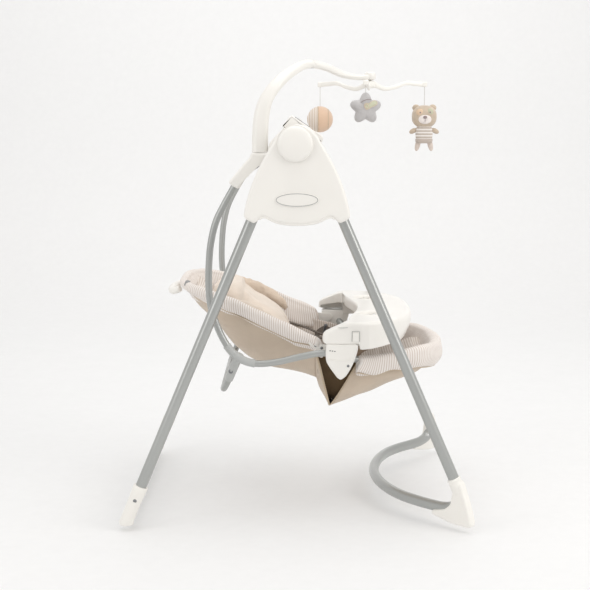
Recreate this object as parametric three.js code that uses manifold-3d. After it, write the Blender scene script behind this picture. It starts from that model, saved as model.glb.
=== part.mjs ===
// Baby swing: an A-frame stand, a hanging reclining seat with a tray, and a turning toy mobile.
// Millimetres. +X is the front (the baby's feet), +Z is up, and the origin is on the floor under
// the apex of the two A-frames. The near side is -Y (idler housing), the far side is +Y (motor housing).
import * as THREE from 'three';
import { mergeVertices } from 'three/addons/utils/BufferGeometryUtils.js';
import Module from 'manifold-3d';

const wasm = await Module();
wasm.setup();

// ---- driving dimensions -------------------------------------------------------------------------
const TUBE_WALL = 1.2;
const LEG_R = 12.7; // 1 inch tube
const HANGER_R = 8; // 5/8 inch tube
const FIT = 0.35; // gap between pieces that touch
const WALL = 2.6; // moulded plastic wall
const PIVOT = { x: -4, z: 878 }; // swing axis
const RECLINE = { x: 85, z: 395 }; // backrest axis
const HOUSING_OUT = 360; // outer face of a housing, from the middle plane
const HOUSING_JOINT = 325; // parting plane of a housing's two shells
const HOUSING_IN = 290; // inner face of a housing
const HANGER_Y = 270; // plane of a hanger tube
const LEG_TOP_Z = 775;
const FRONT_LEG = { x: 104, y: 327, z: 707, slopeX: 0.4326, slopeY: 0.0297 };
const REAR_LEG = { x: -104, y: 327, z: 702, slopeX: -0.4205, slopeY: 0.0292 };
const FRONT_LEG_END_Z = 94.5;
const REAR_LEG_END_Z = 42;
const REAR_BAR = { x: -386, z: 26, halfLength: 334 };
const HUB_IN = 252; // inner face of a seat hub
const HUB_OUT = 290;
const HUB_TOP = 413;
const MOBILE_HUB = { x: 181, y: 0 };
const MOBILE_REACH = 153; // mobile hub to arm tip
const MOBILE_TURN = 23; // degrees of the first arm from +X
const TOY_PIVOT_Z = 1011;
const POD_FACE = { x: 28.5, y: 325, z: 910.5, tilt: 34.77 }; // middle and tilt of the sloping control face

const FINISH = {
  white: { color: 0xf0ede8, roughness: 0.35 },
  tube: { color: 0xa3a5a1, roughness: 0.32, metalness: 0.6 },
  steel: { color: 0xb8babd, roughness: 0.3, metalness: 0.9 },
  brass: { color: 0xb59a5a, roughness: 0.4, metalness: 0.8 },
  dark: { color: 0x4a4a4c, roughness: 0.5 },
  green: { color: 0x2e6b46, roughness: 0.5 },
  tan: { color: 0xb9a98f, roughness: 0.9 },
  stripe: { color: 0xd9ccc0, roughness: 0.9 },
  brown: { color: 0x4b3a2a, roughness: 0.9 },
  peach: { color: 0xe1c3aa, roughness: 0.9 },
  lilac: { color: 0xc8c3cd, roughness: 0.9 },
  bear: { color: 0xbeaf96, roughness: 0.9 },
};

const swing = new THREE.Group();

// ---- solids and booleans ------------------------------------------------------------------------
const vec = (x, y, z) => new THREE.Vector3(x, y, z);

function manifoldOf(geometry) {
  const bare = geometry.index ? geometry.toNonIndexed() : geometry.clone();
  bare.deleteAttribute('normal');
  bare.deleteAttribute('uv');
  const merged = mergeVertices(bare, 1e-4);
  const triVerts = Uint32Array.from(merged.index.array);
  const vertProperties = Float32Array.from(merged.attributes.position.array);
  const made = new wasm.Manifold(new wasm.Mesh({ numProp: 3, vertProperties, triVerts }));
  if (made.volume() >= 0) return made;
  triVerts.reverse();
  return new wasm.Manifold(new wasm.Mesh({ numProp: 3, vertProperties, triVerts }));
}

function geometryOf(manifold) {
  const mesh = manifold.getMesh();
  const geometry = new THREE.BufferGeometry();
  geometry.setAttribute('position', new THREE.BufferAttribute(Float32Array.from(mesh.vertProperties), 3));
  geometry.setIndex(new THREE.BufferAttribute(Uint32Array.from(mesh.triVerts), 1));
  geometry.computeVertexNormals();
  return geometry;
}

const union = (...pieces) => pieces.reduce((whole, piece) => whole.add(piece));
const cut = (whole, ...tools) => tools.reduce((rest, tool) => rest.subtract(tool), whole);

function mirrorY(manifold) {
  const geometry = geometryOf(manifold);
  geometry.scale(1, -1, 1);
  return manifoldOf(geometry);
}

function addMesh(name, manifold, finish, parent = swing) {
  const mesh = new THREE.Mesh(geometryOf(manifold), new THREE.MeshStandardMaterial(FINISH[finish]));
  mesh.name = name;
  parent.add(mesh);
}

// A near piece and its mirror image on the far side.
function addPair(name, nearSolid, finish) {
  addMesh(`near_${name}`, nearSolid, finish);
  addMesh(`far_${name}`, mirrorY(nearSolid), finish);
}

// ---- shapes -------------------------------------------------------------------------------------
const shapeOf = (points) => new THREE.Shape(points.map(([u, v]) => new THREE.Vector2(u, v)));

// An outline in X and Z, extruded along Y from yLow to yHigh.
function plateXZ(points, yLow, yHigh) {
  const geometry = new THREE.ExtrudeGeometry(shapeOf(points), { depth: yHigh - yLow, bevelEnabled: false });
  geometry.rotateX(Math.PI / 2);
  geometry.translate(0, yHigh, 0);
  return manifoldOf(geometry);
}

// An outline in X and Y, extruded upwards from zLow to zHigh.
function plateXY(points, zLow, zHigh) {
  const geometry = new THREE.ExtrudeGeometry(shapeOf(points), { depth: zHigh - zLow, bevelEnabled: false });
  geometry.translate(0, 0, zLow);
  return manifoldOf(geometry);
}

function rod(a, b, radius, sides = 14) {
  const along = b.clone().sub(a);
  const geometry = new THREE.CylinderGeometry(radius, radius, along.length(), sides);
  const turn = new THREE.Quaternion().setFromUnitVectors(vec(0, 1, 0), along.normalize());
  geometry.applyQuaternion(turn);
  const middle = a.clone().add(b).multiplyScalar(0.5);
  geometry.translate(middle.x, middle.y, middle.z);
  return manifoldOf(geometry);
}

function block(centre, size) {
  const geometry = new THREE.BoxGeometry(...size);
  geometry.translate(...centre);
  return manifoldOf(geometry);
}

// A round or oval section, solid or with a wall, swept along a smooth curve through the points.
function sweep(points, radius, { sides = 8, steps = 24, flat = 1, wall = 0 } = {}) {
  const path = new THREE.CatmullRomCurve3(points, false, 'centripetal');
  const section = shapeOf(ellipse(0, 0, radius, radius * flat, sides));
  if (wall > 0) section.holes.push(shapeOf(ellipse(0, 0, radius - wall, radius - wall, sides)));
  return manifoldOf(new THREE.ExtrudeGeometry(section, { steps, extrudePath: path, bevelEnabled: false }));
}

// A straight tube with open ends.
function pipe(a, b, radius) {
  const overrun = b.clone().sub(a).multiplyScalar(0.1);
  const inside = rod(a.clone().sub(overrun), b.clone().add(overrun), radius - TUBE_WALL, 14);
  return cut(rod(a, b, radius, 14), inside);
}

// A closed skin through rings of equal point counts; flatCap gives the rings' own 2-D outline.
function loft(rings, flatCap) {
  const count = rings[0].length;
  const positions = rings.flat().flatMap((p) => [p.x, p.y, p.z]);
  const index = [];
  for (let r = 0; r < rings.length - 1; r += 1) {
    for (let i = 0; i < count; i += 1) {
      const a = r * count + i;
      const b = r * count + ((i + 1) % count);
      index.push(a, b, b + count, a, b + count, a + count);
    }
  }
  const last = (rings.length - 1) * count;
  const cap = THREE.ShapeUtils.triangulateShape(flatCap.map(([u, v]) => new THREE.Vector2(u, v)), []);
  cap.forEach(([a, b, c]) => {
    index.push(a, c, b);
    index.push(last + a, last + b, last + c);
  });
  const geometry = new THREE.BufferGeometry();
  geometry.setAttribute('position', new THREE.Float32BufferAttribute(positions, 3));
  geometry.setIndex(index);
  return manifoldOf(geometry);
}

// A profile of [radius, height] turned about an axis along Y (sign gives the way that height grows).
function turned(profile, centre, sign, sides = 28) {
  const points = profile.map(([radius, height]) => new THREE.Vector2(radius, sign * height));
  const geometry = new THREE.LatheGeometry(points, sides);
  geometry.translate(...centre);
  return manifoldOf(geometry);
}

function ellipse(cx, cz, rx, rz, sides) {
  const points = [];
  for (let i = 0; i < sides; i += 1) {
    const angle = (2 * Math.PI * i) / sides;
    points.push([cx + rx * Math.cos(angle), cz + rz * Math.sin(angle)]);
  }
  return points;
}

// Moves every point of a closed outline outwards by the distance (counter-clockwise outline).
function offsetOutline(points, distance) {
  return points.map((point, i) => {
    const before = points[(i + points.length - 1) % points.length];
    const after = points[(i + 1) % points.length];
    const along = new THREE.Vector2(after[0] - before[0], after[1] - before[1]).normalize();
    return [point[0] + along.y * distance, point[1] - along.x * distance];
  });
}

// Half outlines run up the +X side; the whole outline is counter-clockwise.
function wholeOutline(half) {
  const left = half.slice(1, -1).reverse().map(([x, z]) => [-x, z]);
  return [...half, ...left];
}

// ---- stand: legs, base tubes and feet -----------------------------------------------------------
function legPoint(leg, z, side = -1) {
  const down = leg.z - z;
  return vec(leg.x + down * leg.slopeX, side * (leg.y + down * leg.slopeY), z);
}

const FRONT_BASE_NEAR = [
  legPoint(FRONT_LEG, FRONT_LEG_END_Z - 0.5),
  legPoint(FRONT_LEG, 80),
  vec(376, -342.5, 58),
  vec(366, -333, 40),
  vec(346, -313, 31),
  vec(320, -287, 29),
  vec(283, -248, 29),
  vec(250, -203, 29),
  vec(222, -140, 29),
  vec(205, -70, 29),
];
const BASE_GRAIN = { sides: 10, steps: 38 }; // facets of the bent tube and of the bores it lies in
const FRONT_BASE = [
  ...FRONT_BASE_NEAR,
  vec(199, 0, 29),
  ...FRONT_BASE_NEAR.map((p) => vec(p.x, -p.y, p.z)).reverse(),
];

function addLegs() {
  const front = pipe(legPoint(FRONT_LEG, LEG_TOP_Z), legPoint(FRONT_LEG, FRONT_LEG_END_Z), LEG_R);
  const rear = pipe(legPoint(REAR_LEG, LEG_TOP_Z), legPoint(REAR_LEG, REAR_LEG_END_Z), LEG_R);
  addPair('front_leg', front, 'tube');
  addPair('rear_leg', rear, 'tube');
  addMesh('front_base_tube', sweep(FRONT_BASE, LEG_R, { ...BASE_GRAIN, wall: TUBE_WALL }), 'tube');
  const end = REAR_BAR.halfLength;
  addMesh('rear_base_tube', pipe(vec(REAR_BAR.x, -end, REAR_BAR.z), vec(REAR_BAR.x, end, REAR_BAR.z), LEG_R), 'tube');
}

// The front foot is a fin in the vertical plane that the tube bends in.
function frontFoot() {
  const heading = { x: 0.72, y: -0.69 };
  const origin = { x: 369, y: -343 };
  const halfThickness = 11;
  const profile = [
    [-66, 12], [-30, 6], [5, 0], [45, 0], [50, 7], [47, 24], [35, 60], [18, 103], [4, 106],
    [-4, 80], [-8, 50], [-30, 30], [-66, 22],
  ];
  const rings = [-halfThickness, halfThickness].map((across) =>
    profile.map(([s, z]) =>
      vec(origin.x + heading.x * s - heading.y * across, origin.y + heading.y * s + heading.x * across, z)));
  const fin = loft(rings, profile);
  const collar = rod(legPoint(FRONT_LEG, 106), legPoint(FRONT_LEG, 76), LEG_R + 2.8);
  const bore = rod(legPoint(FRONT_LEG, 130), legPoint(FRONT_LEG, FRONT_LEG_END_Z - 1), LEG_R + FIT);
  const bend = sweep(FRONT_BASE, LEG_R + FIT, BASE_GRAIN);
  return cut(union(fin, collar), bore, bend);
}

function rearFoot() {
  const levels = [
    { z: 90, rx: 15.6, ry: 15.6 },
    { z: 55, rx: 15.8, ry: 16 },
    { z: 20, rx: 17, ry: 17.5 },
    { z: 3, rx: 17, ry: 18 },
    { z: 0, rx: 15.5, ry: 16.5 },
  ];
  const sides = 14;
  const rings = levels.map(({ z, rx, ry }) => {
    const axis = legPoint(REAR_LEG, Math.max(z, 8));
    return ellipse(0, 0, rx, ry, sides).map(([x, y]) => vec(axis.x + x, axis.y + y, z + (z > 50 ? -x * 0.38 : 0)));
  });
  const boot = loft(rings, ellipse(0, 0, 1, 1, sides));
  const bore = rod(legPoint(REAR_LEG, 130), legPoint(REAR_LEG, REAR_LEG_END_Z - 0.6), LEG_R + FIT);
  const socketEnd = REAR_BAR.halfLength + 0.6;
  const socket = rod(vec(REAR_BAR.x, -socketEnd, REAR_BAR.z), vec(REAR_BAR.x, -250, REAR_BAR.z), LEG_R + FIT);
  return cut(boot, bore, socket);
}

// ---- housings -----------------------------------------------------------------------------------
const HOUSING_HALF = [
  [0, 698], [36, 701], [72, 716], [92, 703.5], [110, 708], [119, 723], [108, 769], [85, 825], [55, 881], [33, 908],
  [0, 921],
];
const HOUSING_OUTLINE = wholeOutline(HOUSING_HALF);

function housingSolid(yJoint, yFace, inset) {
  const edge = 8; // rounding of the face's rim
  const towards = Math.sign(yFace - yJoint);
  const steps = [
    { y: yJoint, shrink: inset },
    { y: yFace - towards * (edge + inset), shrink: inset },
    { y: yFace - towards * inset, shrink: inset + edge },
  ];
  const rings = steps.map(({ y, shrink }) =>
    offsetOutline(HOUSING_OUTLINE, -shrink).map(([x, z]) => vec(x, y, z)));
  return loft(rings, HOUSING_OUTLINE);
}

function housingShell(yJoint, yFace) {
  const away = yJoint - Math.sign(yFace - yJoint) * 5;
  const hollow = union(
    housingSolid(yJoint, yFace, WALL),
    loft(
      [away, yJoint + Math.sign(yFace - yJoint)].map((y) =>
        offsetOutline(HOUSING_OUTLINE, -WALL).map(([x, z]) => vec(x, y, z))),
      HOUSING_OUTLINE,
    ),
  );
  const legBores = [FRONT_LEG, REAR_LEG].map((leg) => rod(legPoint(leg, 800), legPoint(leg, 640), LEG_R + FIT));
  return cut(housingSolid(yJoint, yFace, 0), hollow, ...legBores);
}

// The motor housing's shells stop at this sloping line, and the control pod stands on it.
const POD_SPLIT = { x: -46, z: 912, fall: 0.4068 };
const splitZ = (x) => POD_SPLIT.z - (x - POD_SPLIT.x) * POD_SPLIT.fall;

function aboveSplit() {
  const reach = 150;
  return plateXZ([[-reach, splitZ(-reach)], [reach, splitZ(reach)], [reach, 1100], [-reach, 1100]], 280, 380);
}

const BATTERY_DOOR = { x: 0, z: 735, width: 92, height: 34 };
const INLET = { x: 62, z: 792, radius: 5.5 };

function addHousings() {
  const cover = housingShell(-HOUSING_JOINT - FIT / 2, -HOUSING_OUT);
  const bushHole = rod(vec(PIVOT.x, -320, PIVOT.z), vec(PIVOT.x, -250, PIVOT.z), 13 + FIT, 24);
  const inner = cut(housingShell(-HOUSING_JOINT + FIT / 2, -HOUSING_IN), bushHole);
  addMesh('idler_housing_cover', cover, 'white');
  addMesh('idler_housing_inner', inner, 'white');
  addMesh('motor_housing_cover', cut(mirrorY(cover), aboveSplit()), 'white');
  const { x, z, width, height } = BATTERY_DOOR;
  const doorway = block([x, HOUSING_IN, z], [width + 2 * FIT, 20, height + 2 * FIT]);
  const inletHole = rod(vec(INLET.x, 280, INLET.z), vec(INLET.x, 300, INLET.z), INLET.radius + FIT);
  addMesh('motor_housing_inner', cut(mirrorY(inner), doorway, inletHole, aboveSplit()), 'white');
  addMesh('battery_door', block([x, HOUSING_IN + WALL / 2, z], [width, WALL, height]), 'white');
  addPair('pivot_cap', pivotCap(), 'white');
  const badge = plateXZ(ellipse(0, 754, 49, 16, 32), -HOUSING_OUT - FIT - 2, -HOUSING_OUT - FIT);
  addMesh('oval_badge', badge, 'white');
}

function pivotCap() {
  const dome = [[0, 0], [40, 0], [39, 5], [32, 9.5], [18, 12], [0, 13]];
  return turned(dome, [PIVOT.x, -HOUSING_OUT - FIT, PIVOT.z], -1, 22);
}

// ---- inside the motor housing -------------------------------------------------------------------
const CRANK = { x: 5, z: 815 };

function addDrive() {
  const gearbox = block([5, 333, 806], [58, 34, 58]);
  const can = rod(vec(5, 333, 835), vec(5, 333, 862), 13, 20);
  const outputShaft = rod(vec(CRANK.x, 318, CRANK.z), vec(CRANK.x, 297, CRANK.z), 3, 12);
  addMesh('gear_motor', union(gearbox, can, outputShaft), 'steel');
  const disc = rod(vec(CRANK.x, 307, CRANK.z), vec(CRANK.x, 300, CRANK.z), 22, 28);
  const pin = rod(vec(CRANK.x + 15, 300.5, CRANK.z), vec(CRANK.x + 15, 294, CRANK.z), 3, 12);
  const bore = rod(vec(CRANK.x, 320, CRANK.z), vec(CRANK.x, 290, CRANK.z), 3.4, 12);
  addMesh('crank_wheel', cut(union(disc, pin), bore), 'dark');
  addMesh('circuit_board', block([0, 354.4, 800], [84, 1.6, 62]), 'green');
  const speakerProfile = [[0, 0], [21, 0], [21, 5], [11, 12], [11, 18], [0, 18]];
  addMesh('speaker', turned(speakerProfile, [-58, 293.2, 800], 1, 24), 'dark');
  addMesh('battery_pack', batteryPack(), 'brass');
  const inletProfile = [[0, 9], [2.6, 9], [2.6, 0], [INLET.radius, 0], [INLET.radius, 12], [0, 12]];
  addMesh('power_inlet', turned(inletProfile, [INLET.x, HOUSING_IN, INLET.z], 1, 16), 'dark');
}

// Four C cells, two and two, joined by their contact strips.
function batteryPack() {
  const cellR = 13.1;
  const cells = [];
  for (const y of [309.5, 337]) {
    cells.push(rod(vec(-51, y, 729), vec(51, y, 729), cellR, 20));
  }
  const strips = [-52, 52].map((x) => block([x, 323, 729], [2, 40, 8]));
  return union(...cells, ...strips);
}

// ---- control pod --------------------------------------------------------------------------------
const BUTTONS = [
  { name: 'speed_button', along: -26 },
  { name: 'timer_button', along: 0 },
  { name: 'sound_button', along: 26 },
];
const BUTTON_R = 6.5;

function podPlace(geometry) {
  geometry.rotateY(THREE.MathUtils.degToRad(POD_FACE.tilt));
  geometry.translate(POD_FACE.x, POD_FACE.y, POD_FACE.z);
  return manifoldOf(geometry);
}

function podRod(along, low, high, radius) {
  const geometry = new THREE.CylinderGeometry(radius, radius, high - low, 18);
  geometry.rotateX(Math.PI / 2);
  geometry.translate(along, 0, (low + high) / 2);
  return podPlace(geometry);
}

function addPod() {
  const outer = [[-41, splitZ(-41) + FIT], [67, splitZ(67) + FIT], [71, 881], [-14, 940]];
  const inner = [[-37, splitZ(-37) - 8], [64, splitZ(64) - 8], [67.6, 880.2], [-13.8, 936.6], [-37, 911.2]];
  const body = plateXZ(outer, HOUSING_IN, HOUSING_OUT);
  const hollow = plateXZ(inner, HOUSING_IN + WALL, HOUSING_OUT - WALL);
  const holes = BUTTONS.map(({ along }) => podRod(along, -12, 6, BUTTON_R + 0.5));
  addMesh('control_pod', cut(body, hollow, ...holes), 'white');
  const panelPlate = podPlace(new THREE.BoxGeometry(84, 46, 1.2).translate(0, 0, 0.6 + FIT));
  addMesh('control_panel', cut(panelPlate, ...holes), 'dark');
  BUTTONS.forEach(({ name, along }) => {
    addMesh(name, podRod(along, -3, 3.6, BUTTON_R), 'white');
  });
}

// ---- swinging frame -----------------------------------------------------------------------------
const HANGER_LINE = [
  [-142, 783], [-168, 737], [-187, 698], [-199, 650], [-204, 600], [-205, 545], [-200, 497], [-189, 461],
  [-173, 424], [-152, 392], [-126, 373], [-96, 365], [-51, 368], [7, 381], [49, 389], [84, 390],
];
const HANGER_PATH = HANGER_LINE.map(([x, z]) => vec(x, -HANGER_Y, z));
const CROSS_NEAR = [
  vec(-142.4, -260.8, 367.8), vec(-158, -236, 330), vec(-170, -214, 302), vec(-176, -190, 289), vec(-177, -150, 286),
];
const CROSS_PATH = [...CROSS_NEAR, vec(-177, 0, 286), ...CROSS_NEAR.map((p) => vec(p.x, -p.y, p.z)).reverse()];

function addPivots() {
  const bushProfile = [[8.25, 0], [13, 0], [13, 11], [8.25, 11], [8.25, 0]];
  addPair('pivot_bush', turned(bushProfile, [PIVOT.x, -298, PIVOT.z], 1, 24), 'brass');
  addPair('pivot_shaft', rod(vec(PIVOT.x, -340, PIVOT.z), vec(PIVOT.x, -266.5, PIVOT.z), HANGER_R, 24), 'steel');
}

const ELBOW_OUTLINE = [
  [-153, 787], [-133, 775], [-112, 806], [-84, 829], [-46, 845], [-12, 848], [14, 856], [26, 878], [14, 900],
  [-8, 908], [-38, 902], [-62, 884], [-66, 856.7], [-104, 856.7], [-124, 830],
];

function elbow() {
  const body = plateXZ(ELBOW_OUTLINE, -284, -256);
  const shaftBore = rod(vec(PIVOT.x, -300, PIVOT.z), vec(PIVOT.x, -266, PIVOT.z), HANGER_R + FIT, 24);
  const tubeBore = sweep(HANGER_PATH, HANGER_R + FIT);
  return cut(body, shaftBore, tubeBore);
}

function teeBracket() {
  const sleeve = sweep(HANGER_PATH.slice(8, 12), HANGER_R + 3.6, { steps: 6 });
  const branch = sweep([vec(-136, -270, 380), ...CROSS_NEAR.slice(0, 2)], HANGER_R + 3.4, { steps: 4 });
  const tube = sweep(HANGER_PATH, HANGER_R + FIT);
  const bar = sweep(CROSS_PATH, HANGER_R + FIT);
  return cut(union(sleeve, branch), tube, bar);
}

const SEAT_RIM_NEAR = [
  vec(112, -264, 385), vec(116, -251, 382), vec(132, -235, 370), vec(180, -214, 364), vec(240, -196, 372), vec(300, -170, 381),
  vec(336, -110, 379),
];
const SEAT_RIM_FOOT = vec(346, 0, 377);
const BACK_RIM_NEAR = [
  vec(38, -237, 413), vec(-20, -233, 442), vec(-88, -224, 473), vec(-150, -212, 500), vec(-205, -195, 517),
  vec(-250, -160, 527), vec(-276, -90, 531),
];

function rimTube(nearPoints, middle, radius = HANGER_R, wall = TUBE_WALL) {
  const far = nearPoints.map((p) => vec(p.x, -p.y, p.z)).reverse();
  return sweep([...nearPoints, middle, ...far], radius, { wall });
}

const HUB_OUTLINE = [[67, HUB_TOP], [68, 373], [95, 333], [126, 361], [141, 396], [142, HUB_TOP]];

function hub() {
  const body = plateXZ(HUB_OUTLINE, -HUB_OUT, -HUB_IN);
  const tubeBore = rod(vec(50, -HANGER_Y, 389.6), vec(85, -HANGER_Y, 390), HANGER_R + FIT + 0.2, 12);
  const pinBore = rod(vec(RECLINE.x, -264, RECLINE.z), vec(RECLINE.x, -240, RECLINE.z), 5.4, 20);
  const frameBore = rimTube(SEAT_RIM_NEAR, SEAT_RIM_FOOT, HANGER_R + FIT, 0);
  return cut(body, tubeBore, pinBore, frameBore);
}

function addSwingFrame() {
  addPair('elbow', elbow(), 'white');
  addPair('hanger_tube', sweep(HANGER_PATH, HANGER_R, { wall: TUBE_WALL }), 'tube');
  addMesh('cross_tube', sweep(CROSS_PATH, HANGER_R, { wall: TUBE_WALL }), 'tube');
  addPair('tee_bracket', teeBracket(), 'tube');
  addPair('seat_hub', hub(), 'white');
}

// ---- seat ---------------------------------------------------------------------------------------
// A trough of cloth: each station is an X, its top and bottom heights, and its half widths there.
function trough(stations, side, floor) {
  const rings = stations.map(({ x, top, low, wide, base }) => [
    vec(x, -wide, top), vec(x, -base - (wide - base) * 0.35, low + 22), vec(x, -base, low), vec(x, base, low),
    vec(x, base + (wide - base) * 0.35, low + 22), vec(x, wide, top), vec(x, wide - side, top),
    vec(x, base - side + 6, low + floor + 12), vec(x, base - side - 8, low + floor),
    vec(x, -base + side + 8, low + floor), vec(x, -base + side - 6, low + floor + 12), vec(x, -wide + side, top),
  ]);
  return loft(rings, rings[1].map((p) => [p.y, p.z]));
}

const SEAT_STATIONS = [
  { x: 100, top: 352, low: 268, wide: 226, base: 190 },
  { x: 160, top: 352, low: 282, wide: 214, base: 182 },
  { x: 220, top: 359, low: 300, wide: 200, base: 172 },
  { x: 280, top: 368, low: 320, wide: 180, base: 158 },
  { x: 322, top: 369, low: 337, wide: 150, base: 134 },
];
const BACK_STATIONS = [
  { x: 42, top: 400, low: 312, wide: 238, base: 188 },
  { x: -20, top: 432, low: 326, wide: 234, base: 184 },
  { x: -88, top: 463, low: 342, wide: 225, base: 176 },
  { x: -150, top: 490, low: 384, wide: 213, base: 168 },
  { x: -200, top: 505, low: 440, wide: 198, base: 160 },
  { x: -240, top: 515, low: 480, wide: 172, base: 140 },
];

// The closed end of a trough: a slab that follows its last station.
function troughEnd({ x, top, low, wide, base }, length, lift) {
  const section = [[-wide, top], [-base, low], [base, low], [wide, top]];
  const tip = section.map(([y, z]) => [y * 0.62, z + (z === top ? 4 : lift)]);
  const rings = [section.map(([y, z]) => vec(x, y, z)), tip.map(([y, z]) => vec(x + length, y, z))];
  return loft(rings, section);
}

function addSeat() {
  addMesh('seat_frame_tube', rimTube(SEAT_RIM_NEAR, SEAT_RIM_FOOT), 'tube');
  const seatEnd = troughEnd(SEAT_STATIONS.at(-1), 30, 14);
  const lowered = cut(seatEnd, block([340, 0, 380], [90, 420, 22]));
  addMesh('seat_cover', union(trough(SEAT_STATIONS, 20, 22), lowered), 'stripe');
  const pocket = [[44, 308], [78, 236], [98.5, 262], [98.5, 268], [78, 243], [48, 309]];
  addMesh('fabric_pocket', plateXZ(pocket, -186, 186), 'tan');
  addMesh('crotch_strap', sweep([vec(132, 0, 299), vec(128, 0, 325), vec(112, 0, 350)], 12, { sides: 8, flat: 0.12, steps: 6 }), 'brown');
  addMesh('harness_buckle', buckle(), 'white');
  addMesh('buckle_release', block([101.4, 0, 372], [5, 18, 12]), 'dark');
}

const BUCKLE = { x: 108, z: 366 };

function buckle() {
  const body = block([BUCKLE.x, 0, BUCKLE.z], [14, 46, 30]);
  const well = block([100, 0, 372], [13, 19.4, 13.4]);
  return cut(body, well);
}

function hingeEar() {
  const arm = [[38, 398], [66, 384], [RECLINE.x, 383], [97, 395], [RECLINE.x, 407], [60, 412], [34, 424], [28, 408]];
  const pin = rod(vec(RECLINE.x, -262, RECLINE.z), vec(RECLINE.x, -249, RECLINE.z), 5, 20);
  return union(plateXZ(arm, -251.3, -246.5), pin);
}

function addBackrest() {
  addMesh('back_frame_tube', rimTube(BACK_RIM_NEAR, vec(-281, 0, 532)), 'tube');
  addPair('back_hinge', hingeEar(), 'white');
  const headEnd = troughEnd(BACK_STATIONS.at(-1), -34, 26);
  const lowered = cut(headEnd, block([-262, 0, 540], [80, 460, 36]));
  addMesh('back_cover', union(trough(BACK_STATIONS, 22, 28), lowered), 'tan');
  addMesh('support_pillow', pillow(), 'tan');
  const gripPoints = [vec(-293, -70, 514), vec(-307, -62, 509), vec(-313, 0, 507), vec(-307, 62, 509), vec(-293, 70, 514)];
  addMesh('recline_handle', sweep(gripPoints, 8, { steps: 12, flat: 0.8 }), 'white');
}

// The pillow lies on the back cover's floor, 2 mm above it.
function pillow() {
  const stations = BACK_STATIONS.slice(1, 5).map(({ x, low }) => ({ x, low: low + 31 }));
  const halfWidth = 118;
  const thick = [48, 74, 100, 58];
  const rings = stations.map(({ x, low }, i) => [
    vec(x, -halfWidth, low), vec(x, halfWidth, low), vec(x, halfWidth - 12, low + thick[i]),
    vec(x, -halfWidth + 12, low + thick[i]),
  ]);
  return loft(rings, rings[0].map((p) => [p.y, p.z]));
}

// ---- tray ---------------------------------------------------------------------------------------
const TRAY_TOP = 468;
const CUP_WELLS = [{ x: 182, y: -138 }, { x: 182, y: 138 }];

function tray() {
  const deckOutline = [
    [132, -250], [200, -246], [243, -214], [270, -150], [283, -70], [285, 0], [283, 70], [270, 150], [243, 214],
    [200, 246], [132, 250], [122, 232], [132, 170], [146, 110], [152, 0], [146, -110], [132, -170], [122, -232],
  ];
  const deck = plateXY(deckOutline, 405, TRAY_TOP);
  const hollow = plateXY(offsetOutline(deckOutline, -3), 395, TRAY_TOP - 3);
  const armOutline = [[60, 413.4], [150, 413.4], [150, TRAY_TOP - 3], [118, 462], [78, 452], [60, 434]];
  const arms = [-1, 1].map((side) => plateXZ(armOutline, ...[side * 254, side * 286].sort((a, b) => a - b)));
  const bridge = [-1, 1].map((side) => block([140, side * 250, 438], [20, 16, 50]));
  const cups = CUP_WELLS.map(({ x, y }) => rod(vec(x, y, TRAY_TOP - 24), vec(x, y, TRAY_TOP - 0.5), 36, 24));
  const wells = CUP_WELLS.map(({ x, y }) => rod(vec(x, y, TRAY_TOP - 21), vec(x, y, TRAY_TOP + 5), 33, 24));
  return cut(union(cut(deck, hollow), ...arms, ...bridge, ...cups), ...wells);
}

// ---- mobile -------------------------------------------------------------------------------------
const ARM_STATIONS = [
  { at: [-85, -269, 857.3], wide: 19, deep: 11 },
  { at: [-84, -268, 900], wide: 19, deep: 11 },
  { at: [-81, -266, 940], wide: 18, deep: 11 },
  { at: [-70, -262, 978], wide: 16.5, deep: 11 },
  { at: [-46, -248, 1012], wide: 14, deep: 10.5 },
  { at: [-12, -212, 1042], wide: 11.5, deep: 10.5 },
  { at: [25, -160, 1061], wide: 9.5, deep: 10.5 },
  { at: [66, -108, 1056], wide: 8.5, deep: 10 },
  { at: [112, -58, 1039], wide: 8, deep: 10 },
  { at: [150, -24, 1033], wide: 7.5, deep: 10 },
  { at: [181, 0, 1034], wide: 7, deep: 10 },
];

function mobileArm() {
  const points = ARM_STATIONS.map(({ at }) => vec(...at));
  const sides = 12;
  const ring = ellipse(0, 0, 1, 1, sides);
  const rings = ARM_STATIONS.map(({ wide, deep }, i) => {
    const before = points[Math.max(i - 1, 0)];
    const after = points[Math.min(i + 1, points.length - 1)];
    const along = i === 0 ? vec(0, 0, 1) : after.clone().sub(before).normalize();
    const across = vec(0.55, 0.83, 0).lerp(vec(0, 1, 0), i < 4 ? 1 : 0).normalize();
    const normal = along.clone().cross(vec(0, 0, 1)).lengthSq() < 1e-6
      ? vec(0, 1, 0)
      : across.clone().sub(along.clone().multiplyScalar(across.dot(along))).normalize();
    const inPlane = normal.clone().cross(along).normalize();
    return ring.map(([u, v]) =>
      points[i].clone().addScaledVector(inPlane, u * wide).addScaledVector(normal, v * deep));
  });
  return loft(rings, ring);
}

function armLine(turn) {
  const profile = [[0, 1018], [14, 1015], [40, 1006], [72, 1011], [100, 1020], [126, 1019], [MOBILE_REACH + 4, 1017]];
  const angle = THREE.MathUtils.degToRad(turn);
  return profile.map(([r, z]) => vec(MOBILE_HUB.x + r * Math.cos(angle), MOBILE_HUB.y + r * Math.sin(angle), z));
}

function spider() {
  const arms = [0, 120, 240].map((step) => sweep(armLine(MOBILE_TURN + step), 5.8, { sides: 6, steps: 9 }));
  const core = rod(vec(MOBILE_HUB.x, MOBILE_HUB.y, 1018), vec(MOBILE_HUB.x, MOBILE_HUB.y, 1025.6), 14, 16);
  return union(core, ...arms);
}

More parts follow.
